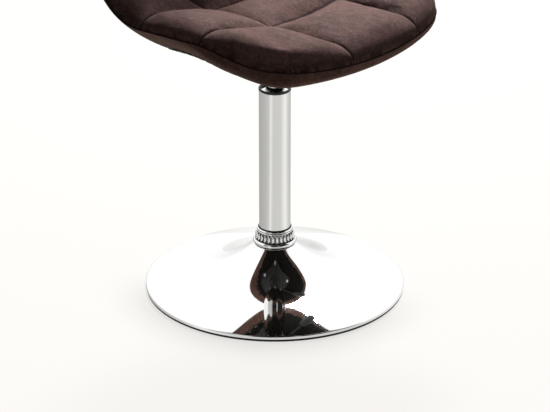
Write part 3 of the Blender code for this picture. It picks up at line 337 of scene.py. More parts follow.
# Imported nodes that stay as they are, by finish
NODE_FINISHES = {
    "black_steel": ["base_socket", "lever_rod"],
    "steel": ["bearing_lower_washer", "bearing_upper_washer", "retaining_washer", "retaining_clip",
              "piston_rod", "release_pin"] + [f"bearing_ball_{number}" for number in range(1, 9)]
             + [f"tee_nut_{number}" for number in range(1, 5)],
    "black_plastic": ["bearing_cage", "piston", "lever_bush"],
    "rubber": ["rod_buffer", "rod_seal"],
    "plywood": ["seat_board", "inner_shell"],
}


# Making of pieces


def curve_points(start, handle_a, handle_b, end, steps):
    """Points on a cubic curve in the profile plane, both ends included."""
    points = []
    corners = (start, handle_a, handle_b, end)
    for i in range(steps + 1):
        t = i / steps
        weights = ((1 - t) ** 3, 3 * t * (1 - t) ** 2, 3 * t * t * (1 - t), t ** 3)
        r = sum(w * c[0] for w, c in zip(weights, corners))
        z = sum(w * c[1] for w, c in zip(weights, corners))
        points.append((r, z))
    return points


def arc_points(centre, radius, start, end, steps):
    """Points on an arc in the profile plane, angles in degrees, both ends included."""
    points = []
    for i in range(steps + 1):
        angle = radians(start + (end - start) * i / steps)
        points.append((centre[0] + radius * cos(angle), centre[1] + radius * sin(angle)))
    return points


def beside(points, distance):
    """A profile moved sideways, to the right of its direction."""
    shifted = []
    last = len(points) - 1
    for i, (r, z) in enumerate(points):
        before = points[max(i - 1, 0)]
        after = points[min(i + 1, last)]
        dr = after[0] - before[0]
        dz = after[1] - before[1]
        length = hypot(dr, dz)
        shifted.append((r + distance * dz / length, z - distance * dr / length))
    return shifted


def spun(profile, steps=SPIN_STEPS):
    """A closed profile of (radius, height) spun about the upright axis."""
    bm = bmesh.new()
    corners = [bm.verts.new((r, 0.0, z)) for r, z in profile]
    edges = [bm.edges.new(pair) for pair in zip(corners, corners[1:] + corners[:1])]
    bmesh.ops.spin(bm, geom=corners + edges, cent=(0, 0, 0), axis=(0, 0, 1), dvec=(0, 0, 0),
                   angle=2 * pi, steps=steps, use_merge=True)
    bmesh.ops.remove_doubles(bm, verts=bm.verts, dist=1e-6)
    bmesh.ops.recalc_face_normals(bm, faces=bm.faces)
    return bm


def edges_of(corners):
    """The edges of some corners, each once."""
    return list(dict.fromkeys(edge for corner in corners for edge in corner.link_edges))


def bevelled(bm, edges, offset, segments):
    """Bevel some edges of a bmesh and give what the operator made."""
    return bmesh.ops.bevel(bm, geom=edges, offset=offset, offset_type="OFFSET", segments=segments,
                           profile=0.5, affect="EDGES", material=-1)


def moved(bm, x, y):
    """A bmesh moved sideways."""
    bmesh.ops.translate(bm, vec=(x, y, 0.0), verts=bm.verts)
    return bm


def laid(point, along, up):
    """Place of a small piece that lies at a point, along a direction."""
    side = up.cross(along).normalized()
    axes = Matrix((along, side, along.cross(side))).transposed().to_4x4()
    return Matrix.Translation(point) @ axes


def mesh_from(name, bm):
    """A mesh from a finished bmesh."""
    mesh = bpy.data.meshes.new(name)
    bm.to_mesh(mesh)
    bm.free()
    return mesh


def linked(name, data):
    """A new object in the scene."""
    made = bpy.data.objects.new(name, data)
    bpy.context.scene.collection.objects.link(made)
    return made


def evaluated_mesh(item):
    """A mesh of an object with its modifiers or its bevel worked in."""
    graph = bpy.context.evaluated_depsgraph_get()
    return bpy.data.meshes.new_from_object(item.evaluated_get(graph))


def add_piece(name, bm, look, body, replaced=(), sharp=40):
    """Move a finished bmesh to the column and let it ride on its body."""
    moved(bm, 0.0, COLUMN_Y)
    return add_mesh(name, mesh_from(name, bm), look, body, replaced, sharp)


def add_mesh(name, mesh, look, body, replaced=(), sharp=40):
    """An object for a finished mesh, with its finish, its body and the nodes that it stands for."""
    finish, slot = look
    mesh.shade_smooth()
    mesh.set_sharp_from_angle(angle=radians(sharp))
    mesh.materials.clear()
    mesh.materials.append(finish)
    piece = linked(name, mesh)
    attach(piece, body)
    for packed in replaced:
        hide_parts(packed)
    return piece


def node_bmesh(packed):
    """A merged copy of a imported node, about the column's axis."""
    bm = bmesh.new()
    bm.from_mesh(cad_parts[packed].data)
    bmesh.ops.remove_doubles(bm, verts=bm.verts, dist=1e-6)
    bmesh.ops.dissolve_limit(bm, angle_limit=radians(1), verts=bm.verts, edges=bm.edges)
    return moved(bm, 0.0, -COLUMN_Y)


def soften(piece, width, segments):
    """Break a piece's sharp edges."""
    step = piece.modifiers.new("broken_edges", "BEVEL")
    step.width = width
    step.segments = segments
    step.limit_method = "ANGLE"
    step.angle_limit = radians(35)


# Shader helpers


def node(tree, kind, settings=None, numbered=None, **named):
    """One node, with settings on itself and values or links on its inputs, by number or by name."""
    made = tree.nodes.new(kind)
    for key, value in (settings or {}).items():
        setattr(made, key, value)
    for key, value in (numbered or {}).items():
        feed(tree, made.inputs[key], value)
    for key, value in named.items():
        feed(tree, made.inputs[key.replace("_", " ")], value)
    return made


def feed(tree, socket, value):
    """Put a value or another node's output into an input. Colours are given without their alpha."""
    if isinstance(value, bpy.types.NodeSocket):
        tree.links.new(value, socket)
    elif socket.type == "RGBA":
        socket.default_value = (*value, 1.0)
    else:
        socket.default_value = value


def maths(tree, operation, first, second=0.0, clamp=False):
    """Result of a Math node."""
    settings = {"operation": operation, "use_clamp": clamp}
    return node(tree, "ShaderNodeMath", settings, {0: first, 1: second}).outputs[0]


def vector_maths(tree, operation, first, second=(0.0, 0.0, 0.0)):
    """Result of a Vector Math node, which is a number for a length or a dot product."""
    made = node(tree, "ShaderNodeVectorMath", {"operation": operation}, {0: first, 1: second})
    return made.outputs["Value" if operation in ("LENGTH", "DOT_PRODUCT") else "Vector"]


def spread(tree, value, from_low, from_high, to_low, to_high, way="LINEAR"):
    """A value moved from one range to another and kept inside it."""
    made = node(tree, "ShaderNodeMapRange", {"clamp": True, "interpolation_type": way}, Value=value,
                From_Min=from_low, From_Max=from_high, To_Min=to_low, To_Max=to_high)
    return made.outputs["Result"]


def blended(tree, factor, first, second):
    """Two colours mixed."""
    values = {0: factor, 6: first, 7: second}
    return node(tree, "ShaderNodeMix", {"data_type": "RGBA"}, values).outputs[2]


def weighed(tree, factor, first, second):
    """Two numbers mixed."""
    values = {0: factor, 2: first, 3: second}
    return node(tree, "ShaderNodeMix", {"data_type": "FLOAT"}, values).outputs[0]


def object_place(tree, stretch=(1.0, 1.0, 1.0), turn=(0.0, 0.0, 0.0)):
    """Object coordinates, stretched and turned for a pattern."""
    place = node(tree, "ShaderNodeTexCoord").outputs["Object"]
    made = node(tree, "ShaderNodeMapping", Vector=place, Scale=stretch, Rotation=turn)
    return made.outputs["Vector"]


def grain(tree, place, scale, detail=3.0, roughness=0.55, distortion=0.0):
    """Value of a noise texture."""
    made = node(tree, "ShaderNodeTexNoise", Vector=place, Scale=scale, Detail=detail,
                Roughness=roughness, Distortion=distortion)
    return made.outputs["Fac"]


def upward_share(tree):
    """How far a surface looks up, from -1 to 1."""
    normal = node(tree, "ShaderNodeNewGeometry").outputs["Normal"]
    return node(tree, "ShaderNodeSeparateXYZ", Vector=normal).outputs["Z"]


# Effects that several finishes share


def new_effect(name, output, **inputs):
    """An empty node group with named inputs and one number as its output, and what its inputs give."""
    group = bpy.data.node_groups.new(name, "ShaderNodeTree")
    for label, value in inputs.items():
        kind = "NodeSocketVector" if isinstance(value, tuple) else "NodeSocketFloat"
        socket = group.interface.new_socket(name=label, in_out="INPUT", socket_type=kind)
        socket.default_value = value
    group.interface.new_socket(name=output, in_out="OUTPUT", socket_type="NodeSocketFloat")
    return group, group.nodes.new("NodeGroupInput").outputs


def ended(group, result):
    """An effect with its result joined to its output."""
    group.links.new(result, group.nodes.new("NodeGroupOutput").inputs[0])
    return group


def tone_drift():
    """Slow clouds between a low and a high value."""
    group, given = new_effect("tone_drift", "Value", Scale=20.0, Low=0.0, High=1.0)
    clouds = grain(group, object_place(group), given["Scale"], 4.0, 0.6, 0.4)
    return ended(group, spread(group, clouds, 0.3, 0.7, given["Low"], given["High"]))


def hairlines():
    """Fine scratches, stretched along one direction."""
    group, given = new_effect("hairlines", "Mask", Along=(1.0, 1.0, 1.0), Scale=200.0)
    place = node(group, "ShaderNodeTexCoord").outputs["Object"]
    stretched = vector_maths(group, "MULTIPLY", place, given["Along"])
    lines = grain(group, stretched, given["Scale"], 2.0, 0.5)
    return ended(group, spread(group, lines, 0.58, 0.75, 0.0, 1.0))


def moulded_grain():
    """Pebbled grain of moulded plastic, rubber and powder coat."""
    group, given = new_effect("moulded_grain", "Height", Scale=900.0)
    place = object_place(group)
    scale = given["Scale"]
    cells = node(group, "ShaderNodeTexVoronoi", {"feature": "SMOOTH_F1"}, Vector=place, Scale=scale)
    fine = grain(group, place, scale, 2.0)
    return ended(group, maths(group, "ADD", cells.outputs["Distance"], fine))


def settled_dust():
    """Specks of dust on the surfaces that look up."""
    group, given = new_effect("settled_dust", "Mask", Amount=0.3, Scale=300.0)
    flat = spread(group, upward_share(group), 0.35, 1.0, 0.0, 1.0)
    clumps = grain(group, object_place(group), given["Scale"], 3.0, 0.7)
    specks = spread(group, clumps, 0.5, 0.75, 0.0, 1.0)
    mask = maths(group, "MULTIPLY", maths(group, "MULTIPLY", flat, specks), given["Amount"])
    return ended(group, mask)


def effect(tree, group, **inputs):
    """A shared effect placed in a finish with its own values, and what it puts out."""
    return node(tree, "ShaderNodeGroup", {"node_tree": group}, **inputs).outputs[0]


# Finishes


def new_finish(name, **fixed):
    """A Principled material with its fixed numbers set on the shader."""
    finish = bpy.data.materials.new(name)
    finish.use_nodes = True
    tree = finish.node_tree
    shader = tree.nodes["Principled BSDF"]
    for key, value in fixed.items():
        feed(tree, shader.inputs[key.replace("_", " ")], value)
    return finish, tree, shader


def raise_surface(tree, shader, height, strength, distance):
    """Bump from a height into the shader's normal."""
    made = node(tree, "ShaderNodeBump", Height=height, Strength=strength, Distance=distance)
    tree.links.new(made.outputs["Normal"], shader.inputs["Normal"])


def drifting_finish(groups, name, tone, polish=None, dust=None, hollow_shade=None, relief=None, **fixed):
    """A finish whose tone and polish drift over the surface.

    tone is a scale and two colours, polish a scale and two roughnesses, dust an amount, a scale and
    a colour, hollow_shade a reach, a range of openness and a colour of painted shade in the hollows,
    and relief the name of a shared effect, its values, a strength and a depth.
    """
    finish, tree, shader = new_finish(name, **fixed)
    scale, dark, light = tone
    drift = effect(tree, groups["tone_drift"], Scale=scale, Low=0.0, High=1.0)
    colour = blended(tree, drift, dark, light)
    if dust:
        amount, scale, pale = dust
        mask = effect(tree, groups["settled_dust"], Amount=amount, Scale=scale)
        colour = blended(tree, mask, colour, pale)
    # Painted shade: ambient occlusion darkens the colour in the hollows
    if hollow_shade:
        reach, openness, shade_tone = hollow_shade
        shelter = node(tree, "ShaderNodeAmbientOcclusion", {"samples": 12}, Distance=reach)
        mask = spread(tree, shelter.outputs["AO"], *openness, 1.0, 0.0)
        colour = blended(tree, mask, colour, shade_tone)
    tree.links.new(colour, shader.inputs["Base Color"])
    if polish:
        scale, low, high = polish
        drift = effect(tree, groups["tone_drift"], Scale=scale, Low=low, High=high)
        tree.links.new(drift, shader.inputs["Roughness"])
    if relief:
        kind, values, strength, depth = relief
        raise_surface(tree, shader, effect(tree, groups[kind], **values), strength, depth)
    return finish


def polished_chrome(groups):
    """Mirror plating with faint hairlines and a few specks of dust."""
    return drifting_finish(
        groups, "polished_chrome", Metallic=1.0,
        tone=(18.0, (0.860, 0.862, 0.865), (0.885, 0.885, 0.880)),
        polish=(45.0, 0.012, 0.030),
        dust=(0.06, 420.0, (0.70, 0.69, 0.67)),
        relief=("hairlines", {"Along": (1.0, 0.12, 1.0), "Scale": 260.0}, 0.010, 0.0001))


def beaded_collar_chrome(groups):
    """Mirror plating, with painted shade darkening the hollows between the beads."""
    return drifting_finish(
        groups, "beaded_collar_chrome", Metallic=1.0,
        tone=(60.0, (0.860, 0.862, 0.865), (0.885, 0.885, 0.880)),
        polish=(45.0, 0.012, 0.030),
        hollow_shade=(HOLLOW_SHADE_REACH, HOLLOW_SHADE_RANGE, HOLLOW_SHADE_TONE))


def drawn_tube_chrome(groups):
    """Chromed tube, polished along its length, a little softer than the foot."""
    return drifting_finish(
        groups, "drawn_tube_chrome", Metallic=1.0,
        tone=(12.0, (0.850, 0.848, 0.836), (0.880, 0.876, 0.860)),
        polish=(30.0, 0.030, 0.060),
        relief=("hairlines", {"Along": (1.0, 1.0, 0.04), "Scale": 700.0}, 0.010, 0.0001))


def plated_steel(groups):
    """Zinc plated steel with a cloudy tone."""
    return drifting_finish(
        groups, "plated_steel", Metallic=1.0,
        tone=(160.0, (0.46, 0.46, 0.47), (0.60, 0.60, 0.59)),
        polish=(320.0, 0.26, 0.42),
        relief=("hairlines", {"Along": (1.0, 1.0, 0.1), "Scale": 600.0}, 0.08, 0.0003))


def powder_coated_steel(groups):
    """Black powder coat with its fine orange peel."""
    return drifting_finish(
        groups, "powder_coated_steel", Specular_IOR_Level=0.30,
        tone=(60.0, (0.010, 0.010, 0.011), (0.024, 0.024, 0.025)),
        polish=(90.0, 0.38, 0.52),
        dust=(0.25, 260.0, (0.16, 0.15, 0.14)),
        relief=("moulded_grain", {"Scale": 700.0}, 0.18, 0.0004))


def moulded_black_plastic(groups):
    """Black plastic with a fine moulded grain."""
    return drifting_finish(
        groups, "moulded_black_plastic",
        tone=(80.0, (0.008, 0.008, 0.008), (0.018, 0.018, 0.018)),
        polish=(140.0, 0.28, 0.40),
        relief=("moulded_grain", {"Scale": 1400.0}, 0.12, 0.0002))


def black_rubber(groups):
    """Dull black rubber with a little bloom."""
    return drifting_finish(
        groups, "black_rubber",
        tone=(70.0, (0.007, 0.007, 0.007), (0.020, 0.019, 0.018)),
        polish=(200.0, 0.60, 0.78),
        relief=("moulded_grain", {"Scale": 1800.0}, 0.20, 0.0003))


def brown_thread(groups):
    """Twisted sewing thread, a little darker than the cloth."""
    return drifting_finish(
        groups, "brown_thread", Roughness=0.85, Specular_IOR_Level=0.10,
        tone=(900.0, (0.010, 0.005, 0.004), (0.030, 0.017, 0.014)),
        relief=("moulded_grain", {"Scale": 2500.0}, 0.3, 0.0002))


def beech_plywood():
    """Dark stained plywood with grain on its faces and its layers on the edges."""
    finish, tree, shader = new_finish("beech_plywood", Roughness=0.62)
    figure = grain(tree, object_place(tree, (30.0, 3.0, 30.0)), 4.0, 5.0, 0.6, 1.2)
    bands = spread(tree, figure, 0.3, 0.7, 0.0, 1.0)
    face = blended(tree, bands, (0.050, 0.028, 0.015), (0.095, 0.056, 0.030))
    height = node(tree, "ShaderNodeSeparateXYZ", Vector=object_place(tree)).outputs["Z"]
    layer_pair = 0.0030
    layers = maths(tree, "SINE", maths(tree, "MULTIPLY", height, 2 * pi / layer_pair))
    side = spread(tree, maths(tree, "ABSOLUTE", upward_share(tree)), 0.2, 0.8, 1.0, 0.0)
    dark = maths(tree, "MULTIPLY", side, spread(tree, layers, -0.2, 0.2, 0.0, 0.55))
    tree.links.new(blended(tree, dark, face, (0.026, 0.014, 0.007)), shader.inputs["Base Color"])
    raise_surface(tree, shader, figure, 0.15, 0.0004)
    return finish


def black_dust_cloth(groups):
    """Thin black bonded cloth with its pressed dots."""
    finish, tree, shader = new_finish("black_dust_cloth", Sheen_Weight=0.05, Specular_IOR_Level=0.12)
    place = object_place(tree)
    fibres = grain(tree, place, 700.0, 4.0, 0.7, 0.8)
    dots = node(tree, "ShaderNodeTexVoronoi", {"feature": "F1"}, Vector=place, Scale=620.0,
                Randomness=0.15)
    pressed = spread(tree, dots.outputs["Distance"], 0.18, 0.34, 1.0, 0.0)
    bands = spread(tree, fibres, 0.3, 0.7, 0.0, 1.0)
    tone = blended(tree, bands, (0.004, 0.004, 0.004), (0.011, 0.011, 0.011))
    tree.links.new(tone, shader.inputs["Base Color"])
    lint = effect(tree, groups["tone_drift"], Scale=240.0, Low=0.80, High=0.95)
    tree.links.new(lint, shader.inputs["Roughness"])
    raise_surface(tree, shader, maths(tree, "SUBTRACT", fibres, pressed), 0.35, 0.0004)
    return finish


def brown_suede():
    """Brushed dark brown suede cloth: cloudy nap, pale rub marks and painted shade in the stitched
    valleys and along the rim.
    """
    finish, tree, shader = new_finish("brown_suede", Sheen_Weight=0.12, Sheen_Roughness=0.45,
                                      Sheen_Tint=(0.75, 0.48, 0.44), Specular_IOR_Level=0.10)
    place = object_place(tree)
    clouds = spread(tree, grain(tree, place, 15.0, 6.0, 0.62, 0.9), 0.36, 0.66, 0.0, 1.0)
    brushed = object_place(tree, (1.0, 0.65, 0.8), (0.0, 0.0, radians(28)))
    rubs = spread(tree, grain(tree, brushed, 110.0, 7.0, 0.80, 0.6), 0.45, 0.64, 0.0, 1.0)
    nap = spread(tree, grain(tree, place, 300.0, 4.0, 0.75), 0.42, 0.62, 0.0, 1.0)
    # Painted shade: the seam_shade attribute darkens the colour along the seams and the rim
    sewn = node(tree, "ShaderNodeAttribute", {"attribute_name": "seam_shade"}).outputs["Fac"]
    colour = blended(tree, clouds, (0.074, 0.041, 0.035), (0.208, 0.119, 0.108))
    for mask, strength, tone in ((rubs, 0.70, (0.280, 0.170, 0.158)),
                                 (nap, 0.62, (0.080, 0.043, 0.036)),
                                 (sewn, 0.85, (0.010, 0.006, 0.005))):
        colour = blended(tree, maths(tree, "MULTIPLY", mask, strength), colour, tone)
    tree.links.new(colour, shader.inputs["Base Color"])
    tree.links.new(spread(tree, clouds, 0.0, 1.0, 0.80, 0.94), shader.inputs["Roughness"])
    fibres = grain(tree, place, 1500.0, 2.0)
    height = maths(tree, "ADD", fibres, maths(tree, "MULTIPLY", rubs, 0.8))
    raise_surface(tree, shader, height, 0.35, 0.0006)
    return finish


def make_finishes():
    """Every finish of the chair by name, with the slot that its pieces take."""
    groups = {"tone_drift": tone_drift(), "hairlines": hairlines(), "moulded_grain": moulded_grain(),
              "settled_dust": settled_dust()}
    return {
        "chrome": (polished_chrome(groups), "chrome"),
        "collar_chrome": (beaded_collar_chrome(groups), "chrome"),
        "tube_chrome": (drawn_tube_chrome(groups), "chrome"),
        "steel": (plated_steel(groups), "steel"),
        "black_steel": (powder_coated_steel(groups), "black_steel"),
        "black_plastic": (moulded_black_plastic(groups), "black_plastic"),
        "rubber": (black_rubber(groups), "rubber"),
        "plywood": (beech_plywood(), "plywood"),
        "dust_cloth": (black_dust_cloth(groups), "black_plastic"),
        "suede": (brown_suede(), "suede"),
        "thread": (brown_thread(groups), "suede"),
    }


def finish_nodes(finishes):
    """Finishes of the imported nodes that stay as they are."""
    for key, names in NODE_FINISHES.items():
        for packed in names:
            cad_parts[packed].material_slots[0].material = finishes[key][0]


# Turned metal of the foot and the column


def downhill(point, slope, reach):
    """A point of the profile plane moved outwards and down a slope."""
    return point[0] + reach * cos(slope), point[1] - reach * sin(slope)


def foot_line(steps):
    """Outer line of the trumpet foot, from its mouth over the rounded rim."""
    turn = 90 - degrees(FOOT_RIM_SLOPE)
    middle = (FOOT_RIM[0] - FOOT_RIM_ROUND, FOOT_RIM[1] + FOOT_RIM_WALL)
    edge = arc_points(middle, FOOT_RIM_ROUND, turn, 0, 10)
    mouth_handle = downhill(FOOT_MOUTH, FOOT_MOUTH_SLOPE, FOOT_MOUTH_REACH)
    waist_handle = downhill(FOOT_WAIST, FOOT_WAIST_SLOPE, -FOOT_WAIST_REACH)
    outer_handle = downhill(FOOT_WAIST, FOOT_WAIST_SLOPE, FOOT_OUTER_REACH)
    edge_handle = downhill(edge[0], FOOT_RIM_SLOPE, -FOOT_RIM_REACH)
    line = curve_points(FOOT_MOUTH, mouth_handle, waist_handle, FOOT_WAIST, steps)
    line += curve_points(FOOT_WAIST, outer_handle, edge_handle, edge[0], steps)[1:]
    return line + edge[1:] + [FOOT_RIM]


def make_foot(finishes):
    """Spun trumpet, rubber ring and ballast disc."""
    outside = foot_line(FOOT_OUTSIDE_STEPS)
    inside = beside(foot_line(FOOT_INSIDE_STEPS), FOOT_SHEET)
    inside[0] = (FOOT_MOUTH[0] - FOOT_SHEET, FOOT_MOUTH[1])
    inside[-1] = (FOOT_RADIUS - FOOT_SHEET, FOOT_RIM[1])
    trumpet = spun(outside + inside[::-1], FOOT_SPIN_STEPS)
    add_piece("foot_trumpet", trumpet, finishes["chrome"], "foot", ["trumpet_base"])

    outer = FOOT_RADIUS - RING_INSET
    inner = outer - RING_WIDTH
    shoulder = RING_HEIGHT - RING_HIGH_EDGE
    ring = arc_points((outer - RING_LOW_EDGE, RING_LOW_EDGE), RING_LOW_EDGE, -90, 0, 5)
    ring += [(outer, shoulder), (outer - RING_HIGH_EDGE, RING_HEIGHT)]
    ring += [(inner + RING_HIGH_EDGE, RING_HEIGHT), (inner, shoulder)]
    ring += arc_points((inner + RING_LOW_EDGE, RING_LOW_EDGE), RING_LOW_EDGE, 180, 270, 5)
    for share in RING_GROOVE_PLACES:
        ring += arc_points((inner + RING_WIDTH * share, 0.0), RING_GROOVE, 180, 0, 8)
    add_piece("foot_tread", spun(ring, RING_SPIN_STEPS), finishes["rubber"], "foot", ["floor_ring"])

    edge = BALLAST_EDGE
    disc = [(BALLAST_HOLE + edge, BALLAST_TOP_Z), (BALLAST_RADIUS - edge, BALLAST_TOP_Z),
            (BALLAST_RADIUS, BALLAST_TOP_Z - edge), (BALLAST_RADIUS, BALLAST_LIP_TOP_Z),
            (BALLAST_LIP_RADIUS, BALLAST_LIP_TOP_Z), (BALLAST_LIP_RADIUS, BALLAST_BOTTOM_Z)]
    for radius in BALLAST_GROOVE_RADII:
        disc += arc_points((radius, BALLAST_BOTTOM_Z), BALLAST_GROOVE, 0, 180, 8)
    disc += [(BALLAST_HOLE + edge, BALLAST_BOTTOM_Z), (BALLAST_HOLE, BALLAST_BOTTOM_Z + edge),
             (BALLAST_HOLE, BALLAST_TOP_Z - edge)]
    add_piece("ballast_disc", spun(disc), finishes["black_steel"], "foot", ["ballast_plate"])


def make_column(finishes):
    """Chromed tube with its fluted collar, dark seal and recessed bush."""
    bore = TUBE_RADIUS - TUBE_WALL
    edge_z = TUBE_TOP_Z - TUBE_EDGE
    tube = arc_points((bore + TUBE_EDGE, edge_z), TUBE_EDGE, 180, 90, 4)
    tube += arc_points((TUBE_RADIUS - TUBE_EDGE, edge_z), TUBE_EDGE, 90, 0, 4)
    tube += [(TUBE_RADIUS, TUBE_MIDDLE_Z), (TUBE_RADIUS, TUBE_TAPER_Z),
             (TUBE_FOOT_RADIUS, TUBE_BOTTOM_Z), (TUBE_HOLE, TUBE_BOTTOM_Z),
             (TUBE_HOLE, TUBE_FLOOR_Z), (TUBE_FOOT_RADIUS - TUBE_WALL, TUBE_FLOOR_Z),
             (bore, TUBE_TAPER_Z), (bore, TUBE_MIDDLE_Z)]
    add_piece("column_sleeve", spun(tube), finishes["tube_chrome"], "foot", ["column_tube"])
    add_piece("fluted_collar", fluted_collar(), finishes["collar_chrome"], "foot", ["trim_collar"])

    low = COLLAR_BOTTOM_Z + SEAL_BOTTOM
    high = low + SEAL_HEIGHT
    bore = TUBE_RADIUS + SEAL_GAP
    seal = [(bore, low), (SEAL_RADIUS, low), (SEAL_RADIUS, high - SEAL_EDGE),
            (SEAL_RADIUS - SEAL_EDGE, high), (bore, high)]
    add_piece("collar_seal", spun(seal), finishes["rubber"], "foot", ["collar_gasket"])

    edge_z = BUSH_TOP_Z - BUSH_EDGE
    bottom = BUSH_TOP_Z - BUSH_LENGTH
    bush = [(BUSH_BORE, edge_z), (BUSH_BORE + BUSH_EDGE, BUSH_TOP_Z),
            (BUSH_RADIUS - BUSH_EDGE, BUSH_TOP_Z), (BUSH_RADIUS, edge_z), (BUSH_RADIUS, bottom),
            (BUSH_BORE, bottom)]
    bush = spun(bush, BUSH_SPIN_STEPS)
    add_piece("tube_bush", bush, finishes["black_plastic"], "foot", ["guide_bush"])


def fluted_collar():
    """Collar with a round flange, a band of oval beads and two slim rings against the tube."""
    half = COLLAR_FLANGE_HEIGHT / 2
    low = COLLAR_BOTTOM_Z
    profile = [(COLLAR_BORE, low)]
    profile += arc_points((COLLAR_FLANGE_RADIUS - half, low + half), half, -80, 80, 16)
    band_low = low + COLLAR_FLANGE_HEIGHT - BAND_SINK
    band_high = low + BAND_HEAD
    for i in range(BAND_STEPS + 1):
        share = i / BAND_STEPS
        radius = BAND_LOW_RADIUS + (BAND_HIGH_RADIUS - BAND_LOW_RADIUS) * share
        profile.append((radius, band_low + (band_high - band_low) * share))
    for height in COLLAR_RING_HEIGHTS:
        profile += arc_points((COLLAR_RING_RADIUS, low + height), COLLAR_RING_ROUND, -80, 80, 10)
    profile.append((COLLAR_BORE, low + COLLAR_HEIGHT))
    bm = spun(profile, FLUTE_COUNT * FLUTE_STEPS)
    for corner in bm.verts:
        share = (corner.co.z - band_low) / (band_high - band_low)
        radius = hypot(corner.co.x, corner.co.y)
        if not 0.001 < share < 0.999 or radius < COLLAR_BORE + BAND_SINK:
            continue
        across = abs(cos(0.5 * FLUTE_COUNT * atan2(corner.co.y, corner.co.x)))
        oval = (across / BEAD_WIDTH) ** 2 + ((share - 0.5) / BEAD_HALF_HEIGHT) ** 4
        raised = BEAD_RISE * sqrt(max(1.0 - oval, 0.0))
        corner.co.x *= (radius + raised) / radius
        corner.co.y *= (radius + raised) / radius
    return bm


def make_mouth(finishes):
    """Black ring that closes the tube's mouth, and the polished washer in it."""
    outer = TUBE_RADIUS + MOUTH_RING_GAP
    inner = MOUTH_WASHER_RADIUS + MOUTH_RING_GAP
    edge = (outer - inner) / 4
    seat = TUBE_TOP_Z + MOUTH_RING_GAP
    low = BUSH_TOP_Z + MOUTH_RING_LIFT
    ledge = MOUTH_WASHER_Z - MOUTH_RING_LIFT
    ring = [(MOUTH_RING_BORE, low), (BUSH_RADIUS, low), (BUSH_RADIUS, seat), (outer, seat)]
    ring += arc_points((outer - edge, MOUTH_RING_TOP_Z - edge), edge, 0, 90, 5)
    ring += arc_points((inner + edge, MOUTH_RING_TOP_Z - edge), edge, 90, 180, 5)
    ring += [(inner, ledge), (MOUTH_RING_BORE, ledge)]
    add_piece("mouth_ring", spun(ring, MOUTH_SPIN_STEPS), finishes["black_plastic"], "foot")

    high = MOUTH_WASHER_Z + MOUTH_WASHER_THICKNESS
    dished = high - MOUTH_WASHER_DISH
    washer = [(MOUTH_WASHER_BORE, MOUTH_WASHER_Z), (MOUTH_WASHER_RADIUS, MOUTH_WASHER_Z),
              (MOUTH_WASHER_RADIUS, high - MOUTH_WASHER_EDGE),
              (MOUTH_WASHER_RADIUS - MOUTH_WASHER_EDGE, high),
              (MOUTH_WASHER_BORE + MOUTH_WASHER_BORE_EDGE, dished),
              (MOUTH_WASHER_BORE, dished - MOUTH_WASHER_BORE_EDGE)]
    add_piece("mouth_washer", spun(washer, MOUTH_SPIN_STEPS), finishes["chrome"], "foot")


def make_lift(finishes):
    """Chromed gas cylinder, tapered where the seat's hub grips it."""
    low = CYLINDER_BOTTOM_Z
    high = CYLINDER_TOP_Z
    ceiling = high - CYLINDER_TOP_WALL
    profile = [(CYLINDER_PIN_BORE, high), (CYLINDER_TOP_FACE_RADIUS, high),
               (CYLINDER_TOP_RADIUS, high - CYLINDER_TOP_EDGE), (CYLINDER_RADIUS, HUB_BOTTOM_Z),
               (CYLINDER_RADIUS, TUBE_MIDDLE_Z), (CYLINDER_RADIUS, low), (CYLINDER_BORE, low),
               (CYLINDER_BORE, HUB_BOTTOM_Z), (CYLINDER_TOP_BORE, ceiling),
               (CYLINDER_PIN_BORE, ceiling)]
    cylinder = spun(profile, CYLINDER_SPIN_STEPS)
    add_piece("lift_cylinder", cylinder, finishes["chrome"], "seat", ["gas_cylinder"])


# Mount under the seat


def hub_cone():
    """Socket of the gas lift, with the ripples of its weld against the plate."""
    under = PLATE_BOTTOM_Z - WELD_SINK
    top = PLATE_BOTTOM_Z + HUB_RISE
    profile = [(HUB_BORE_HIGH, top), (HUB_WALL_RADIUS, top), (HUB_WALL_RADIUS, under)]
    profile += arc_points((HUB_WALL_RADIUS - WELD_SINK, under), WELD_SIZE, 0, -84, 8)
    profile += [(HUB_WALL_RADIUS, HUB_BOTTOM_Z + HUB_WALL_EDGE),
                (HUB_WALL_RADIUS - HUB_WALL_EDGE, HUB_BOTTOM_Z),
                (HUB_BORE_LOW + HUB_BORE_EDGE, HUB_BOTTOM_Z),
                (HUB_BORE_LOW, HUB_BOTTOM_Z + HUB_BORE_EDGE)]
    bm = spun(profile, WELD_RIPPLES * WELD_RIPPLE_STEPS)
    for corner in bm.verts:
        radius = hypot(corner.co.x, corner.co.y)
        if radius > HUB_WALL_RADIUS + WELD_SINK and corner.co.z < under:
            ripple = WELD_RIPPLE * sin(WELD_RIPPLES * atan2(corner.co.y, corner.co.x))
            corner.co.x *= 1 + ripple / radius
            corner.co.y *= 1 + ripple / radius
            corner.co.z -= ripple / 2
    return bm


def hex_bolt():
    """Bolt with a chamfered six-sided head, a round bearing face and its shank."""
    face = BOLT_HEAD_TOP_Z
    end = face + BOLT_SHANK
    head_top = face - BOLT_EDGE
    shank = [(0.0, end), (BOLT_RADIUS - BOLT_EDGE, end), (BOLT_RADIUS, end - BOLT_EDGE),
             (BOLT_RADIUS, face), (BOLT_FACE_RADIUS, face), (BOLT_FACE_RADIUS, head_top),
             (0.0, head_top)]
    bm = spun(shank, BOLT_SPIN_STEPS)
    head = bmesh.ops.create_cone(bm, cap_ends=True, segments=6, radius1=BOLT_HEAD_RADIUS,
                                 radius2=BOLT_HEAD_RADIUS, depth=BOLT_HEAD_HEIGHT)["verts"]
    bmesh.ops.translate(bm, vec=(0.0, 0.0, head_top - BOLT_HEAD_HEIGHT / 2), verts=head)
    bevelled(bm, edges_of(head), BOLT_EDGE, 2)
    bmesh.ops.recalc_face_normals(bm, faces=bm.faces)
    return bm


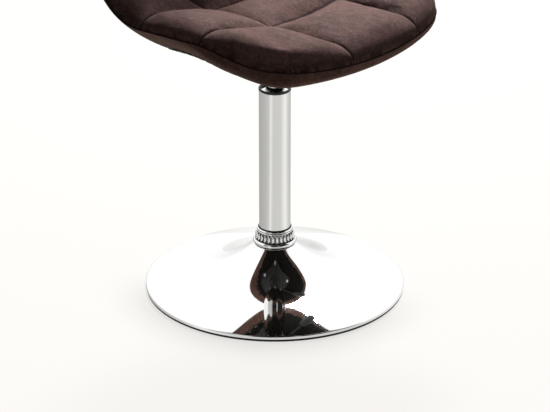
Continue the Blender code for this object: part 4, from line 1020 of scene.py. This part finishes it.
def flat_washer():
    """Pressed washer above a bolt's head."""
    low = BOLT_HEAD_TOP_Z + WASHER_GAP
    high = low + WASHER_THICKNESS
    bore = BOLT_RADIUS + WASHER_GAP
    profile = [(bore, low + WASHER_BORE_EDGE), (bore + WASHER_BORE_EDGE, low),
               (WASHER_RADIUS - WASHER_EDGE, low), (WASHER_RADIUS, low + WASHER_EDGE),
               (WASHER_RADIUS, high), (bore, high)]
    return spun(profile, WASHER_SPIN_STEPS)


def make_mount(finishes):
    """Pressed plate with its welded cone, bolts, washers and the lever's paddle."""
    black = finishes["black_steel"]
    steel = finishes["steel"]
    plate = add_piece("mounting_plate", node_bmesh("seat_plate"), black, "seat", ["seat_plate"])
    soften(plate, PLATE_EDGE, 2)
    add_piece("hub_cone", hub_cone(), black, "seat", ["taper_hub"])
    places = [(sx * BOLT_X, sy * BOLT_Y) for sx in (-1, 1) for sy in (-1, 1)]
    for number, (x, y) in enumerate(places, 1):
        bolt = moved(hex_bolt(), x, y)
        add_piece(f"hex_bolt_{number}", bolt, steel, "seat", [f"plate_bolt_{number}"])
        washer = moved(flat_washer(), x, y)
        add_piece(f"flat_washer_{number}", washer, steel, "seat", [f"plate_washer_{number}"])
    grip = node_bmesh("lever_grip")
    paddle = add_piece("lever_paddle", grip, finishes["black_plastic"], "lever", ["lever_grip"], 60)
    soften(paddle, PADDLE_EDGE, 3)


# Shell of the seat


def smooth_step(value, low, high):
    """Blend from 0 to 1 between two values."""
    share = min(max((value - low) / (high - low), 0.0), 1.0)
    return share * share * (3 - 2 * share)


def centre_line(s):
    """Point of the rim seam's centre line and its upward normal, at a length from the front."""
    if s < BEND_START:
        rise = max(FRONT_RISE_LENGTH - s, 0.0) / FRONT_RISE_LENGTH
        point = Vector((0.0, s - SEAT_FRONT, SEAT_Z + FRONT_RISE * rise * rise))
        return point, Vector((0.0, 0.0, 1.0))
    angle = min((s - BEND_START) / BEND_RADIUS, BEND_ANGLE)
    along = max(s - BEND_START - BEND_LENGTH, 0.0)
    y = BEND_START_Y + BEND_RADIUS * sin(angle) + along * cos(angle)
    z = SEAT_Z + BEND_RADIUS * (1 - cos(angle)) + along * sin(angle)
    return Vector((0.0, y, z)), Vector((0.0, -sin(angle), cos(angle)))


def half_width(s):
    """Half width of the shell at a length from the front."""
    blend = smooth_step(s, WIDTH_BLEND_START, WIDTH_BLEND_END)
    return SEAT_HALF_WIDTH + (BACK_HALF_WIDTH - SEAT_HALF_WIDTH) * blend


def seam_surface(u, s):
    """Point of the surface through the rim seam. u runs from -1 to 1 across the shell."""
    left = 1 - CORNER_ROUNDING
    side_rounding = left / (1 + left * CORNER_SPREAD / 2)
    across = sqrt(1 - CORNER_ROUNDING * u * u)
    corner = 0.0
    placed = s
    if s < FRONT_CORNER_LENGTH:
        corner = 1 - s / FRONT_CORNER_LENGTH
        placed = FRONT_CORNER_LENGTH * (1 - corner * across)
    top_start = SHELL_LENGTH - TOP_CORNER_LENGTH
    if s > top_start:
        corner = (s - top_start) / TOP_CORNER_LENGTH
        placed = top_start + TOP_CORNER_LENGTH * corner * across
    shrink = sqrt(1 - side_rounding * corner * corner * abs(u) ** CORNER_SPREAD)
    width = half_width(placed)
    x = u * width * shrink
    point, normal = centre_line(placed)
    height = FRONT_LIFT + (SIDE_LIFT - FRONT_LIFT) * smooth_step(placed, LIFT_START, LIFT_END)
    lift = height * abs(x / width) ** LIFT_POWER
    return point + normal * lift + Vector((x, 0.0, 0.0))


def seam_normal(u, s):
    """Normal of that surface, on the sitter's side."""
    u_low = max(u - NORMAL_STEP, -1.0)
    u_high = min(u + NORMAL_STEP, 1.0)
    s_low = max(s - NORMAL_STEP, 0.0)
    s_high = min(s + NORMAL_STEP, SHELL_LENGTH)
    across = seam_surface(u_high, s) - seam_surface(u_low, s)
    along = seam_surface(u, s_high) - seam_surface(u, s_low)
    return across.cross(along).normalized()


def rim_distance(u, s):
    """About how far a point of the shell lies from the rim."""
    side = (1 - abs(u)) * half_width(s)
    ends = min(s, SHELL_LENGTH - s)
    if side < 1e-9 or ends < 1e-9:
        return 0.0
    return (side ** -4 + ends ** -4) ** -0.25


def rounded(distance, radius):
    """Share of the full thickness at a distance from the rim, as a quarter circle."""
    left = 1 - min(distance / radius, 1.0)
    return sqrt(max(1 - left * left, 0.0))


def puff(place):
    """Swelling of a quilted panel across one of its sides."""
    return sqrt(max(4 * place * (1 - place), 0.0))


def swell(distance, length, power):
    """Share of the full depth at a distance from an edge."""
    left = 1 - min(max(distance, 0.0) / length, 1.0)
    return (1 - left * left) ** power


def cover_depth(u, s):
    """Depth of the outer cover below the seam surface."""
    back = smooth_step(s, BEND_START, BEND_START + BEND_LENGTH)
    depth = DISH_DEPTH + (BACK_DEPTH - DISH_DEPTH) * back
    length = DISH_EDGE_LENGTH + (BACK_EDGE_LENGTH - DISH_EDGE_LENGTH) * back
    side = smooth_step(s, DISH_SIDE_START, DISH_SIDE_END)
    power = DISH_FRONT_POWER + (DISH_SIDE_POWER - DISH_FRONT_POWER) * side
    power += (BACK_EDGE_POWER - DISH_SIDE_POWER) * back
    return depth * swell(rim_distance(u, s), length, power)


def panel_places():
    """Places across one panel, from 0 to 1, closer together at its seams."""
    shares = [i / PANEL_CELLS for i in range(PANEL_CELLS)]
    return [t - PANEL_CROWDING * sin(2 * pi * t) / (2 * pi) for t in shares]


def panel_edges():
    """Where the panels' seams lie, across in u and along in metres from the front."""
    seam = QUILT_SEAM_X / SEAT_HALF_WIDTH
    rows = [0.0] + [QUILT_FIRST_ROW + QUILT_ROW * row for row in range(QUILT_ROWS - 1)]
    return [-1.0, -seam, seam, 1.0], rows + [SHELL_LENGTH]


def grid_lines(edges):
    """Every grid line over a row of panels: its value and its place in the panel."""
    lines = []
    for low, high in zip(edges, edges[1:]):
        lines += [(low + (high - low) * place, place) for place in panel_places()]
    lines.append((edges[-1], 1.0))
    return lines


def shell_sheet(height, quilted):
    """A grid laid over the shell. height(u, s, place_u, place_s) is above the seam surface."""
    across, along = [grid_lines(edges) for edges in panel_edges()]
    columns = len(across) - 1
    rows = len(along) - 1
    bm = bmesh.new()
    bmesh.ops.create_grid(bm, x_segments=columns, y_segments=rows, size=1.0)
    shade = bm.verts.layers.float.new("seam_shade")
    to_rim = bm.verts.layers.float.new("rim_distance")
    for corner in bm.verts:
        u, place_u = across[round((corner.co.x + 1) / 2 * columns)]
        s, place_s = along[round((corner.co.y + 1) / 2 * rows)]
        corner.co = seam_surface(u, s) + seam_normal(u, s) * height(u, s, place_u, place_s)
        # seam_shade holds the painted shade along the seams and the rim, and also marks the sewn
        # corners
        to_seam = min(place_u, 1 - place_u) * 2 * QUILT_SEAM_X
        to_row = min(place_s, 1 - place_s) * QUILT_ROW
        corner[to_rim] = rim_distance(u, s)
        corner[shade] = exp(-(min(to_seam, to_row) / SEAM_SHADE_WIDTH) ** 2) if quilted else 0.0
    return bm


def pad_height(u, s, place_u, place_s):
    """Top of the stuffed panels."""
    edge = rounded(rim_distance(u, s), PAD_EDGE_RADIUS)
    return RIM_GAP + PAD_SEAM_THICKNESS * edge + PAD_PUFF * puff(place_u) * puff(place_s)


def slack_height(u, s, place_u, place_s):
    """Top of the panels before they are filled."""
    full = pad_height(u, s, place_u, place_s)
    return full - PAD_PUFF * (1 - SLACK_PUFF) * puff(place_u) * puff(place_s)


def pad_floor(u, s, place_u, place_s):
    """Underside of the stuffed panels."""
    return RIM_GAP


def cover_height(u, s, place_u, place_s):
    """Outside of the back cover."""
    return -RIM_GAP - cover_depth(u, s)


def cover_ceiling(u, s, place_u, place_s):
    """Inside of the back cover."""
    return -RIM_GAP


def close_sheets(outer, inner):
    """One closed form from two sheets with the same rim."""
    spare = mesh_from("inner_sheet", inner)
    outer.from_mesh(spare)
    bpy.data.meshes.remove(spare)
    bmesh.ops.remove_doubles(outer, verts=outer.verts, dist=1e-5)
    rim = [edge for edge in outer.edges if edge.is_boundary]
    if rim:
        bmesh.ops.bridge_loops(outer, edges=rim)
    bmesh.ops.recalc_face_normals(outer, faces=outer.faces)
    return outer


# Upholstery


def filled_panels():
    """Top of the stuffed panels, blown up by a short cloth simulation with seams and rim held."""
    bm = shell_sheet(slack_height, True)
    bm.verts.ensure_lookup_table()
    shade = bm.verts.layers.float["seam_shade"]
    to_rim = bm.verts.layers.float["rim_distance"]
    held = [corner.index for corner in bm.verts if corner.is_boundary or corner[shade] > SEWN_SHADE]
    mesh = bpy.data.meshes.new("panel_cloth")
    bm.to_mesh(mesh)
    cloth = linked("panel_cloth", mesh)
    cloth.vertex_groups.new(name="sewn").add(held, 1.0, "REPLACE")
    filling = cloth.modifiers.new("filling", "CLOTH")
    for key, value in FILLING_CLOTH.items():
        setattr(filling.settings, key, value)
    filling.settings.effector_weights.gravity = 0.0
    filling.collision_settings.use_collision = False
    filling.point_cache.frame_start = 1
    filling.point_cache.frame_end = FILLING_FRAMES
    scene = bpy.context.scene
    for number in range(1, FILLING_FRAMES + 1):
        scene.frame_set(number)
    blown = cloth.evaluated_get(bpy.context.evaluated_depsgraph_get()).to_mesh()
    for corner, after in zip(bm.verts, blown.vertices):
        way = after.co - corner.co
        if way.length > FILLING_CAP:
            way *= FILLING_CAP / way.length
        corner.co += way * smooth_step(corner[to_rim], 0.0, CALM_RIM)
    bpy.data.objects.remove(cloth)
    bpy.data.meshes.remove(mesh)
    scene.frame_set(1)
    return bm


def keep_sewn_edges(bm):
    """Mark the seams and the rim, so that a subdivision leaves them where they are."""
    shade = bm.verts.layers.float["seam_shade"]
    crease = bm.edges.layers.float.new("crease_edge")
    for edge in bm.edges:
        if edge.is_boundary:
            edge[crease] = 1.0
        elif min(corner[shade] for corner in edge.verts) > SEWN_SHADE:
            edge[crease] = SEAM_CREASE
    return bm


def make_upholstery(finishes):
    """Stuffed panels, their sewing, the back cover and the cloth under the seat."""
    suede = finishes["suede"]
    thread = finishes["thread"]
    top = keep_sewn_edges(filled_panels())
    pad = close_sheets(top, shell_sheet(pad_floor, False))
    piece = add_piece("stuffed_panels", pad, suede, "seat", ["quilted_pad"], 180)
    finer = piece.modifiers.new("finer", "SUBSURF")
    finer.levels = 1
    finer.render_levels = 1
    add_piece("panel_stitches", panel_stitches(), thread, "seat", (), 180)
    add_mesh("rim_piping", rim_piping(), thread, "seat")

    cover = close_sheets(shell_sheet(cover_height, False), shell_sheet(cover_ceiling, False))
    piece = add_piece("back_cover", cover, suede, "seat", ["outer_cover"], 50)
    cut_opening(piece)
    make_dust_cloth(finishes)


def rim_ring():
    """Points all round the rim seam."""
    steps = [i / PIPING_STEPS for i in range(PIPING_STEPS)]
    ring = [seam_surface(2 * t - 1, 0.0) for t in steps]
    ring += [seam_surface(1.0, SHELL_LENGTH * t) for t in steps]
    ring += [seam_surface(1 - 2 * t, SHELL_LENGTH) for t in steps]
    ring += [seam_surface(-1.0, SHELL_LENGTH * (1 - t)) for t in steps]
    return ring


def rim_piping():
    """Mesh of the thin round cord sewn into the rim seam."""
    line = bpy.data.curves.new("rim_piping", "CURVE")
    line.dimensions = "3D"
    line.bevel_depth = PIPING_RADIUS
    line.bevel_resolution = 2
    points = rim_ring()
    spline = line.splines.new("POLY")
    spline.points.add(len(points) - 1)
    for place, point in zip(spline.points, points):
        place.co = (point[0], point[1] + COLUMN_Y, point[2], 1.0)
    spline.use_cyclic_u = True
    spare = linked("rim_piping", line)
    mesh = evaluated_mesh(spare)
    bpy.data.objects.remove(spare)
    bpy.data.curves.remove(line)
    return mesh


def panel_stitches():
    """Small stitches in the valleys of every sewn line."""
    across_edges, along_edges = panel_edges()
    along_steps = range(STITCH_STEPS_ALONG + 1)
    across_steps = range(STITCH_STEPS_ACROSS + 1)
    bm = bmesh.new()
    for u in across_edges[1:-1]:
        sew_line(bm, [(u, SHELL_LENGTH * i / STITCH_STEPS_ALONG) for i in along_steps])
    for s in along_edges[1:-1]:
        sew_line(bm, [(2 * i / STITCH_STEPS_ACROSS - 1, s) for i in across_steps])
    return bm


def sew_line(bm, line):
    """Stitches along a line of places on the shell."""
    size = Matrix.Diagonal((STITCH_LENGTH / 2, STITCH_RADIUS, STITCH_RADIUS, 1.0))
    seam = []
    for u, s in line:
        height = pad_height(u, s, 0.0, 0.0) + STITCH_LIFT
        seam.append(seam_surface(u, s) + seam_normal(u, s) * height)
    walked = 0.0
    due = STITCH_PITCH
    for (u, s), before, after in zip(line, seam, seam[1:]):
        walked += (after - before).length
        if walked < due:
            continue
        due += STITCH_PITCH
        place = laid(after, (after - before).normalized(), seam_normal(u, s))
        bmesh.ops.create_icosphere(bm, subdivisions=1, radius=1.0, matrix=place @ size)


# Underside of the seat


def rounded_block(half, corner, low, high):
    """Upright block with round corners."""
    bm = bmesh.new()
    bmesh.ops.create_cube(bm, size=1.0)
    bmesh.ops.scale(bm, vec=(2 * half[0], 2 * half[1], high - low), verts=bm.verts)
    bmesh.ops.translate(bm, vec=(0.0, COLUMN_Y, (low + high) / 2), verts=bm.verts)
    upright = [edge for edge in bm.edges if abs(edge.verts[0].co.z - edge.verts[1].co.z) > 1e-6]
    bevelled(bm, upright, corner, 8)
    return bm


def cut_opening(piece):
    """Cut the cover away below the mounting plate."""
    block = rounded_block(OPENING_HALF, OPENING_CORNER, PLATE_BOTTOM_Z, OPENING_CEILING_Z)
    mesh = mesh_from("opening_block", block)
    cutter = linked("opening_block", mesh)
    cut = piece.modifiers.new("opening", "BOOLEAN")
    cut.operation = "DIFFERENCE"
    cut.solver = "EXACT"
    cut.object = cutter
    before = piece.data
    piece.data = evaluated_mesh(piece)
    piece.modifiers.clear()
    bpy.data.meshes.remove(before)
    bpy.data.objects.remove(cutter)
    bpy.data.meshes.remove(mesh)


def dust_cloth_place(a, b):
    """Place on the shell of a point of the cloth under the seat. a and b run from -1 to 1."""
    u = DUST_CLOTH_HALF_WIDTH * a * sqrt(1 - DUST_CLOTH_ROUNDING * b * b)
    s = DUST_CLOTH_MIDDLE + DUST_CLOTH_HALF_LENGTH * b * sqrt(1 - DUST_CLOTH_ROUNDING * a * a)
    return u, s


def below_cover(u, s, proud):
    """Point below the cover's outside."""
    return seam_surface(u, s) - seam_normal(u, s) * (RIM_GAP + cover_depth(u, s) + proud)


def make_dust_cloth(finishes):
    """Black cloth stretched over the underside, open round the mounting plate, with its staples."""
    bm = bmesh.new()
    bmesh.ops.create_grid(bm, x_segments=DUST_CLOTH_CELLS, y_segments=DUST_CLOTH_CELLS, size=1.0)
    for corner in bm.verts:
        corner.co = below_cover(*dust_cloth_place(corner.co.x, corner.co.y), DUST_CLOTH_PROUD)
    half_x, half_y = DUST_CLOTH_HOLE
    for place, way in (((half_x, 0, 0), (1, 0, 0)), ((-half_x, 0, 0), (1, 0, 0)),
                       ((0, half_y, 0), (0, 1, 0)), ((0, -half_y, 0), (0, 1, 0))):
        bmesh.ops.bisect_plane(bm, geom=bm.verts[:] + bm.edges[:] + bm.faces[:], dist=1e-6,
                               plane_co=place, plane_no=way)
    middles = [(face, face.calc_center_median()) for face in bm.faces]
    hole = [face for face, at in middles if abs(at.x) < half_x and abs(at.y) < half_y]
    bmesh.ops.delete(bm, geom=hole, context="FACES")
    bmesh.ops.recalc_face_normals(bm, faces=bm.faces)
    cloth = add_piece("dust_cloth", bm, finishes["dust_cloth"], "seat", (), 180)
    wall = cloth.modifiers.new("cloth", "SOLIDIFY")
    wall.thickness = DUST_CLOTH_THICKNESS
    wall.offset = 0.0
    staples = add_piece("cloth_staples", cloth_staples(), finishes["steel"], "seat")


def staple_place(turn):
    """Place on the shell of a staple, by its bearing from the middle of the cloth."""
    reach = STAPLE_INSET / max(abs(cos(turn)), abs(sin(turn)))
    return dust_cloth_place(reach * cos(turn), reach * sin(turn))


def cloth_staples():
    """Flat wire staples round the edge of the cloth."""
    bm = bmesh.new()
    proud = DUST_CLOTH_PROUD + DUST_CLOTH_THICKNESS
    for i in range(STAPLE_COUNT):
        turn = 2 * pi * i / STAPLE_COUNT
        u, s = staple_place(turn)
        middle = below_cover(u, s, proud)
        along = (below_cover(*staple_place(turn + STAPLE_TURN), proud) - middle).normalized()
        crown = bmesh.ops.create_cube(bm, size=1.0)["verts"]
        bmesh.ops.scale(bm, vec=STAPLE_SIZE, verts=crown)
        made = bevelled(bm, edges_of(crown), STAPLE_EDGE, 1)
        bmesh.ops.transform(bm, matrix=laid(middle, along, seam_normal(u, s)), verts=made["verts"])
    return bm


# Studio


def make_studio():
    """White floor, white surroundings and one soft lamp."""
    bm = bmesh.new()
    bmesh.ops.create_grid(bm, x_segments=1, y_segments=1, size=FLOOR_HALF)
    mesh = mesh_from("studio_floor", bm)
    mesh.materials.append(white_floor())
    linked("studio_floor", mesh)
    white_world()
    key_softbox()


def seen_in_metal(tree, path):
    """1 for light that a shiny piece sends back, otherwise 0."""
    return maths(tree, "ADD", path["Is Glossy Ray"], path["Is Transmission Ray"], True)


def white_floor():
    """Matt white paper that keeps the chair's shadow and has a painted contact shadow before the foot.
    Metal sees it with painted light from the studio's panels on it.
    """
    finish = bpy.data.materials.new("white_paper")
    finish.use_nodes = True
    tree = finish.node_tree
    tree.nodes.clear()
    path = node(tree, "ShaderNodeLightPath").outputs
    shown = path["Is Camera Ray"]
    metal = seen_in_metal(tree, path)
    place = node(tree, "ShaderNodeTexCoord").outputs["Object"]
    paper = node(tree, "ShaderNodeBsdfDiffuse", Color=blended(tree, shown, PAPER_BOUNCE, PAPER_SHOWN))
    # Painted light: for metal the floor glows brighter and darker by bearing, for the camera it carries
    # the painted contact shadow
    level = weighed(tree, metal, painted_shadow_before_foot(tree, place), panels_round_chair(tree, place))
    white = blended(tree, shown, GLOW_IN_METAL, GLOW_SHOWN)
    glow = node(tree, "ShaderNodeEmission", Color=white, Strength=level)
    share = maths(tree, "ADD", maths(tree, "MULTIPLY", shown, FLOOR_GLOW), metal, True)
    mixed = node(tree, "ShaderNodeMixShader", None, {0: share, 1: paper.outputs[0], 2: glow.outputs[0]})
    node(tree, "ShaderNodeOutputMaterial", Surface=mixed.outputs[0])
    return finish


def painted_shadow_before_foot(tree, place):
    """Painted contact shadow on the paper, close to the rim of the foot on its dark side."""
    away = vector_maths(tree, "SUBTRACT", place, (0.0, COLUMN_Y, 0.0))
    reach = vector_maths(tree, "LENGTH", away)
    side = vector_maths(tree, "NORMALIZE", away)
    turned_off = facing(tree, side, SHADE_SIDE, *SHADE_RANGE)
    near = spread(tree, reach, FOOT_RADIUS, FOOT_RADIUS + SHADE_REACH, 1.0, 0.0)
    depth = maths(tree, "MULTIPLY", maths(tree, "POWER", near, 2.0), SHADE_DEPTH)
    return maths(tree, "SUBTRACT", 1.0, maths(tree, "MULTIPLY", depth, turned_off))


def panels_round_chair(tree, place):
    """Brightness of the floor and of the studio's panels by their bearing from the chair."""
    turned = node(tree, "ShaderNodeMapping", Vector=place, Rotation=(0.0, 0.0, FLOOR_TURN)).outputs[0]
    bearing = node(tree, "ShaderNodeTexGradient", {"gradient_type": "RADIAL"}, Vector=turned)
    ramp = node(tree, "ShaderNodeValToRGB", Fac=bearing.outputs["Fac"])
    stops = ramp.color_ramp.elements
    while len(stops) < len(FLOOR_PANELS):
        stops.new(0.5)
    for stop, (degrees_right, level) in zip(stops, FLOOR_PANELS):
        stop.position = degrees_right / 360 + 0.5
        stop.color = (level, level, level, 1.0)
    return ramp.outputs["Color"]


def facing(tree, towards, direction, low, high):
    """From 0 to 1 as a direction of the surroundings nears the one given."""
    nearness = vector_maths(tree, "DOT_PRODUCT", towards, direction)
    return spread(tree, nearness, low, high, 0.0, 1.0, "SMOOTHSTEP")


def strip_lamp(tree, towards, bearing, width, level, foot, head):
    """An upright strip of light in the surroundings, at one bearing, between two heights."""
    across = vector_maths(tree, "DOT_PRODUCT", towards, (bearing[1], -bearing[0], 0.0))
    offset = maths(tree, "ABSOLUTE", across)
    strip = spread(tree, offset, width * STRIP_CORE, width, 1.0, 0.0)
    for direction, fade in ((UPRIGHT, foot), (UPRIGHT, head), (bearing, STRIP_AHEAD)):
        strip = maths(tree, "MULTIPLY", strip, facing(tree, towards, direction, *fade))
    return maths(tree, "MULTIPLY", strip, level)


def white_world():
    """White surroundings with a dark side behind the camera, and strip lamps in it."""
    world = bpy.data.worlds.new("white_studio")
    bpy.context.scene.world = world
    world.use_nodes = True
    tree = world.node_tree
    tree.nodes.clear()
    towards = node(tree, "ShaderNodeTexCoord").outputs["Generated"]
    dark = facing(tree, towards, DARK_SIDE, *DARK_RANGE)
    pattern = maths(tree, "SUBTRACT", 1.0, maths(tree, "MULTIPLY", dark, DARK_DEPTH))
    for strip in STRIPS:
        pattern = maths(tree, "MAXIMUM", pattern, strip_lamp(tree, towards, *strip))
    above = facing(tree, towards, UPRIGHT, 0.0, PANEL_HEAD)
    above = maths(tree, "MAXIMUM", above, facing(tree, towards, DARK_SIDE, *PANEL_GAP))
    pattern = blended(tree, above, panels_round_chair(tree, towards), pattern)
    gloss = maths(tree, "MULTIPLY", pattern, WORLD_GLOSS)
    fill = maths(tree, "MULTIPLY", facing(tree, towards, FILL_SIDE, *FILL_RANGE), WORLD_FILL)
    path = node(tree, "ShaderNodeLightPath").outputs
    light = weighed(tree, seen_in_metal(tree, path), fill, gloss)
    level = weighed(tree, path["Is Camera Ray"], light, 1.0)
    back = node(tree, "ShaderNodeBackground", Color=(1.0, 1.0, 1.0), Strength=level)
    node(tree, "ShaderNodeOutputWorld", Surface=back.outputs[0])


def key_softbox():
    """A square soft box that looks at the seat."""
    lamp = bpy.data.lights.new("key_softbox", "AREA")
    lamp.shape = "RECTANGLE"
    lamp.size = KEY_SIZE
    lamp.size_y = KEY_SIZE
    lamp.energy = KEY_WATTS
    box = linked("key_softbox", lamp)
    box.location = KEY_PLACE
    way = Vector(KEY_TARGET) - Vector(KEY_PLACE)
    box.rotation_euler = way.to_track_quat("-Z", "Y").to_euler()


def make_camera():
    """The photograph's view."""
    lens = bpy.data.cameras.new("photo_view")
    lens.lens = CAMERA_LENS
    lens.sensor_width = CAMERA_SENSOR
    lens.sensor_fit = "HORIZONTAL"
    camera = linked("photo_view", lens)
    camera.location = CAMERA_PLACE
    camera.rotation_euler = (pi / 2 - CAMERA_PITCH, 0.0, CAMERA_TURN)
    bpy.context.scene.camera = camera


def main():
    """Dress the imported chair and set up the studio."""
    make_camera()
    finishes = make_finishes()
    finish_nodes(finishes)
    make_foot(finishes)
    make_column(finishes)
    make_mouth(finishes)
    make_lift(finishes)
    make_mount(finishes)
    make_upholstery(finishes)
    make_studio()
    bpy.context.scene.view_settings.view_transform = "Standard"


main()
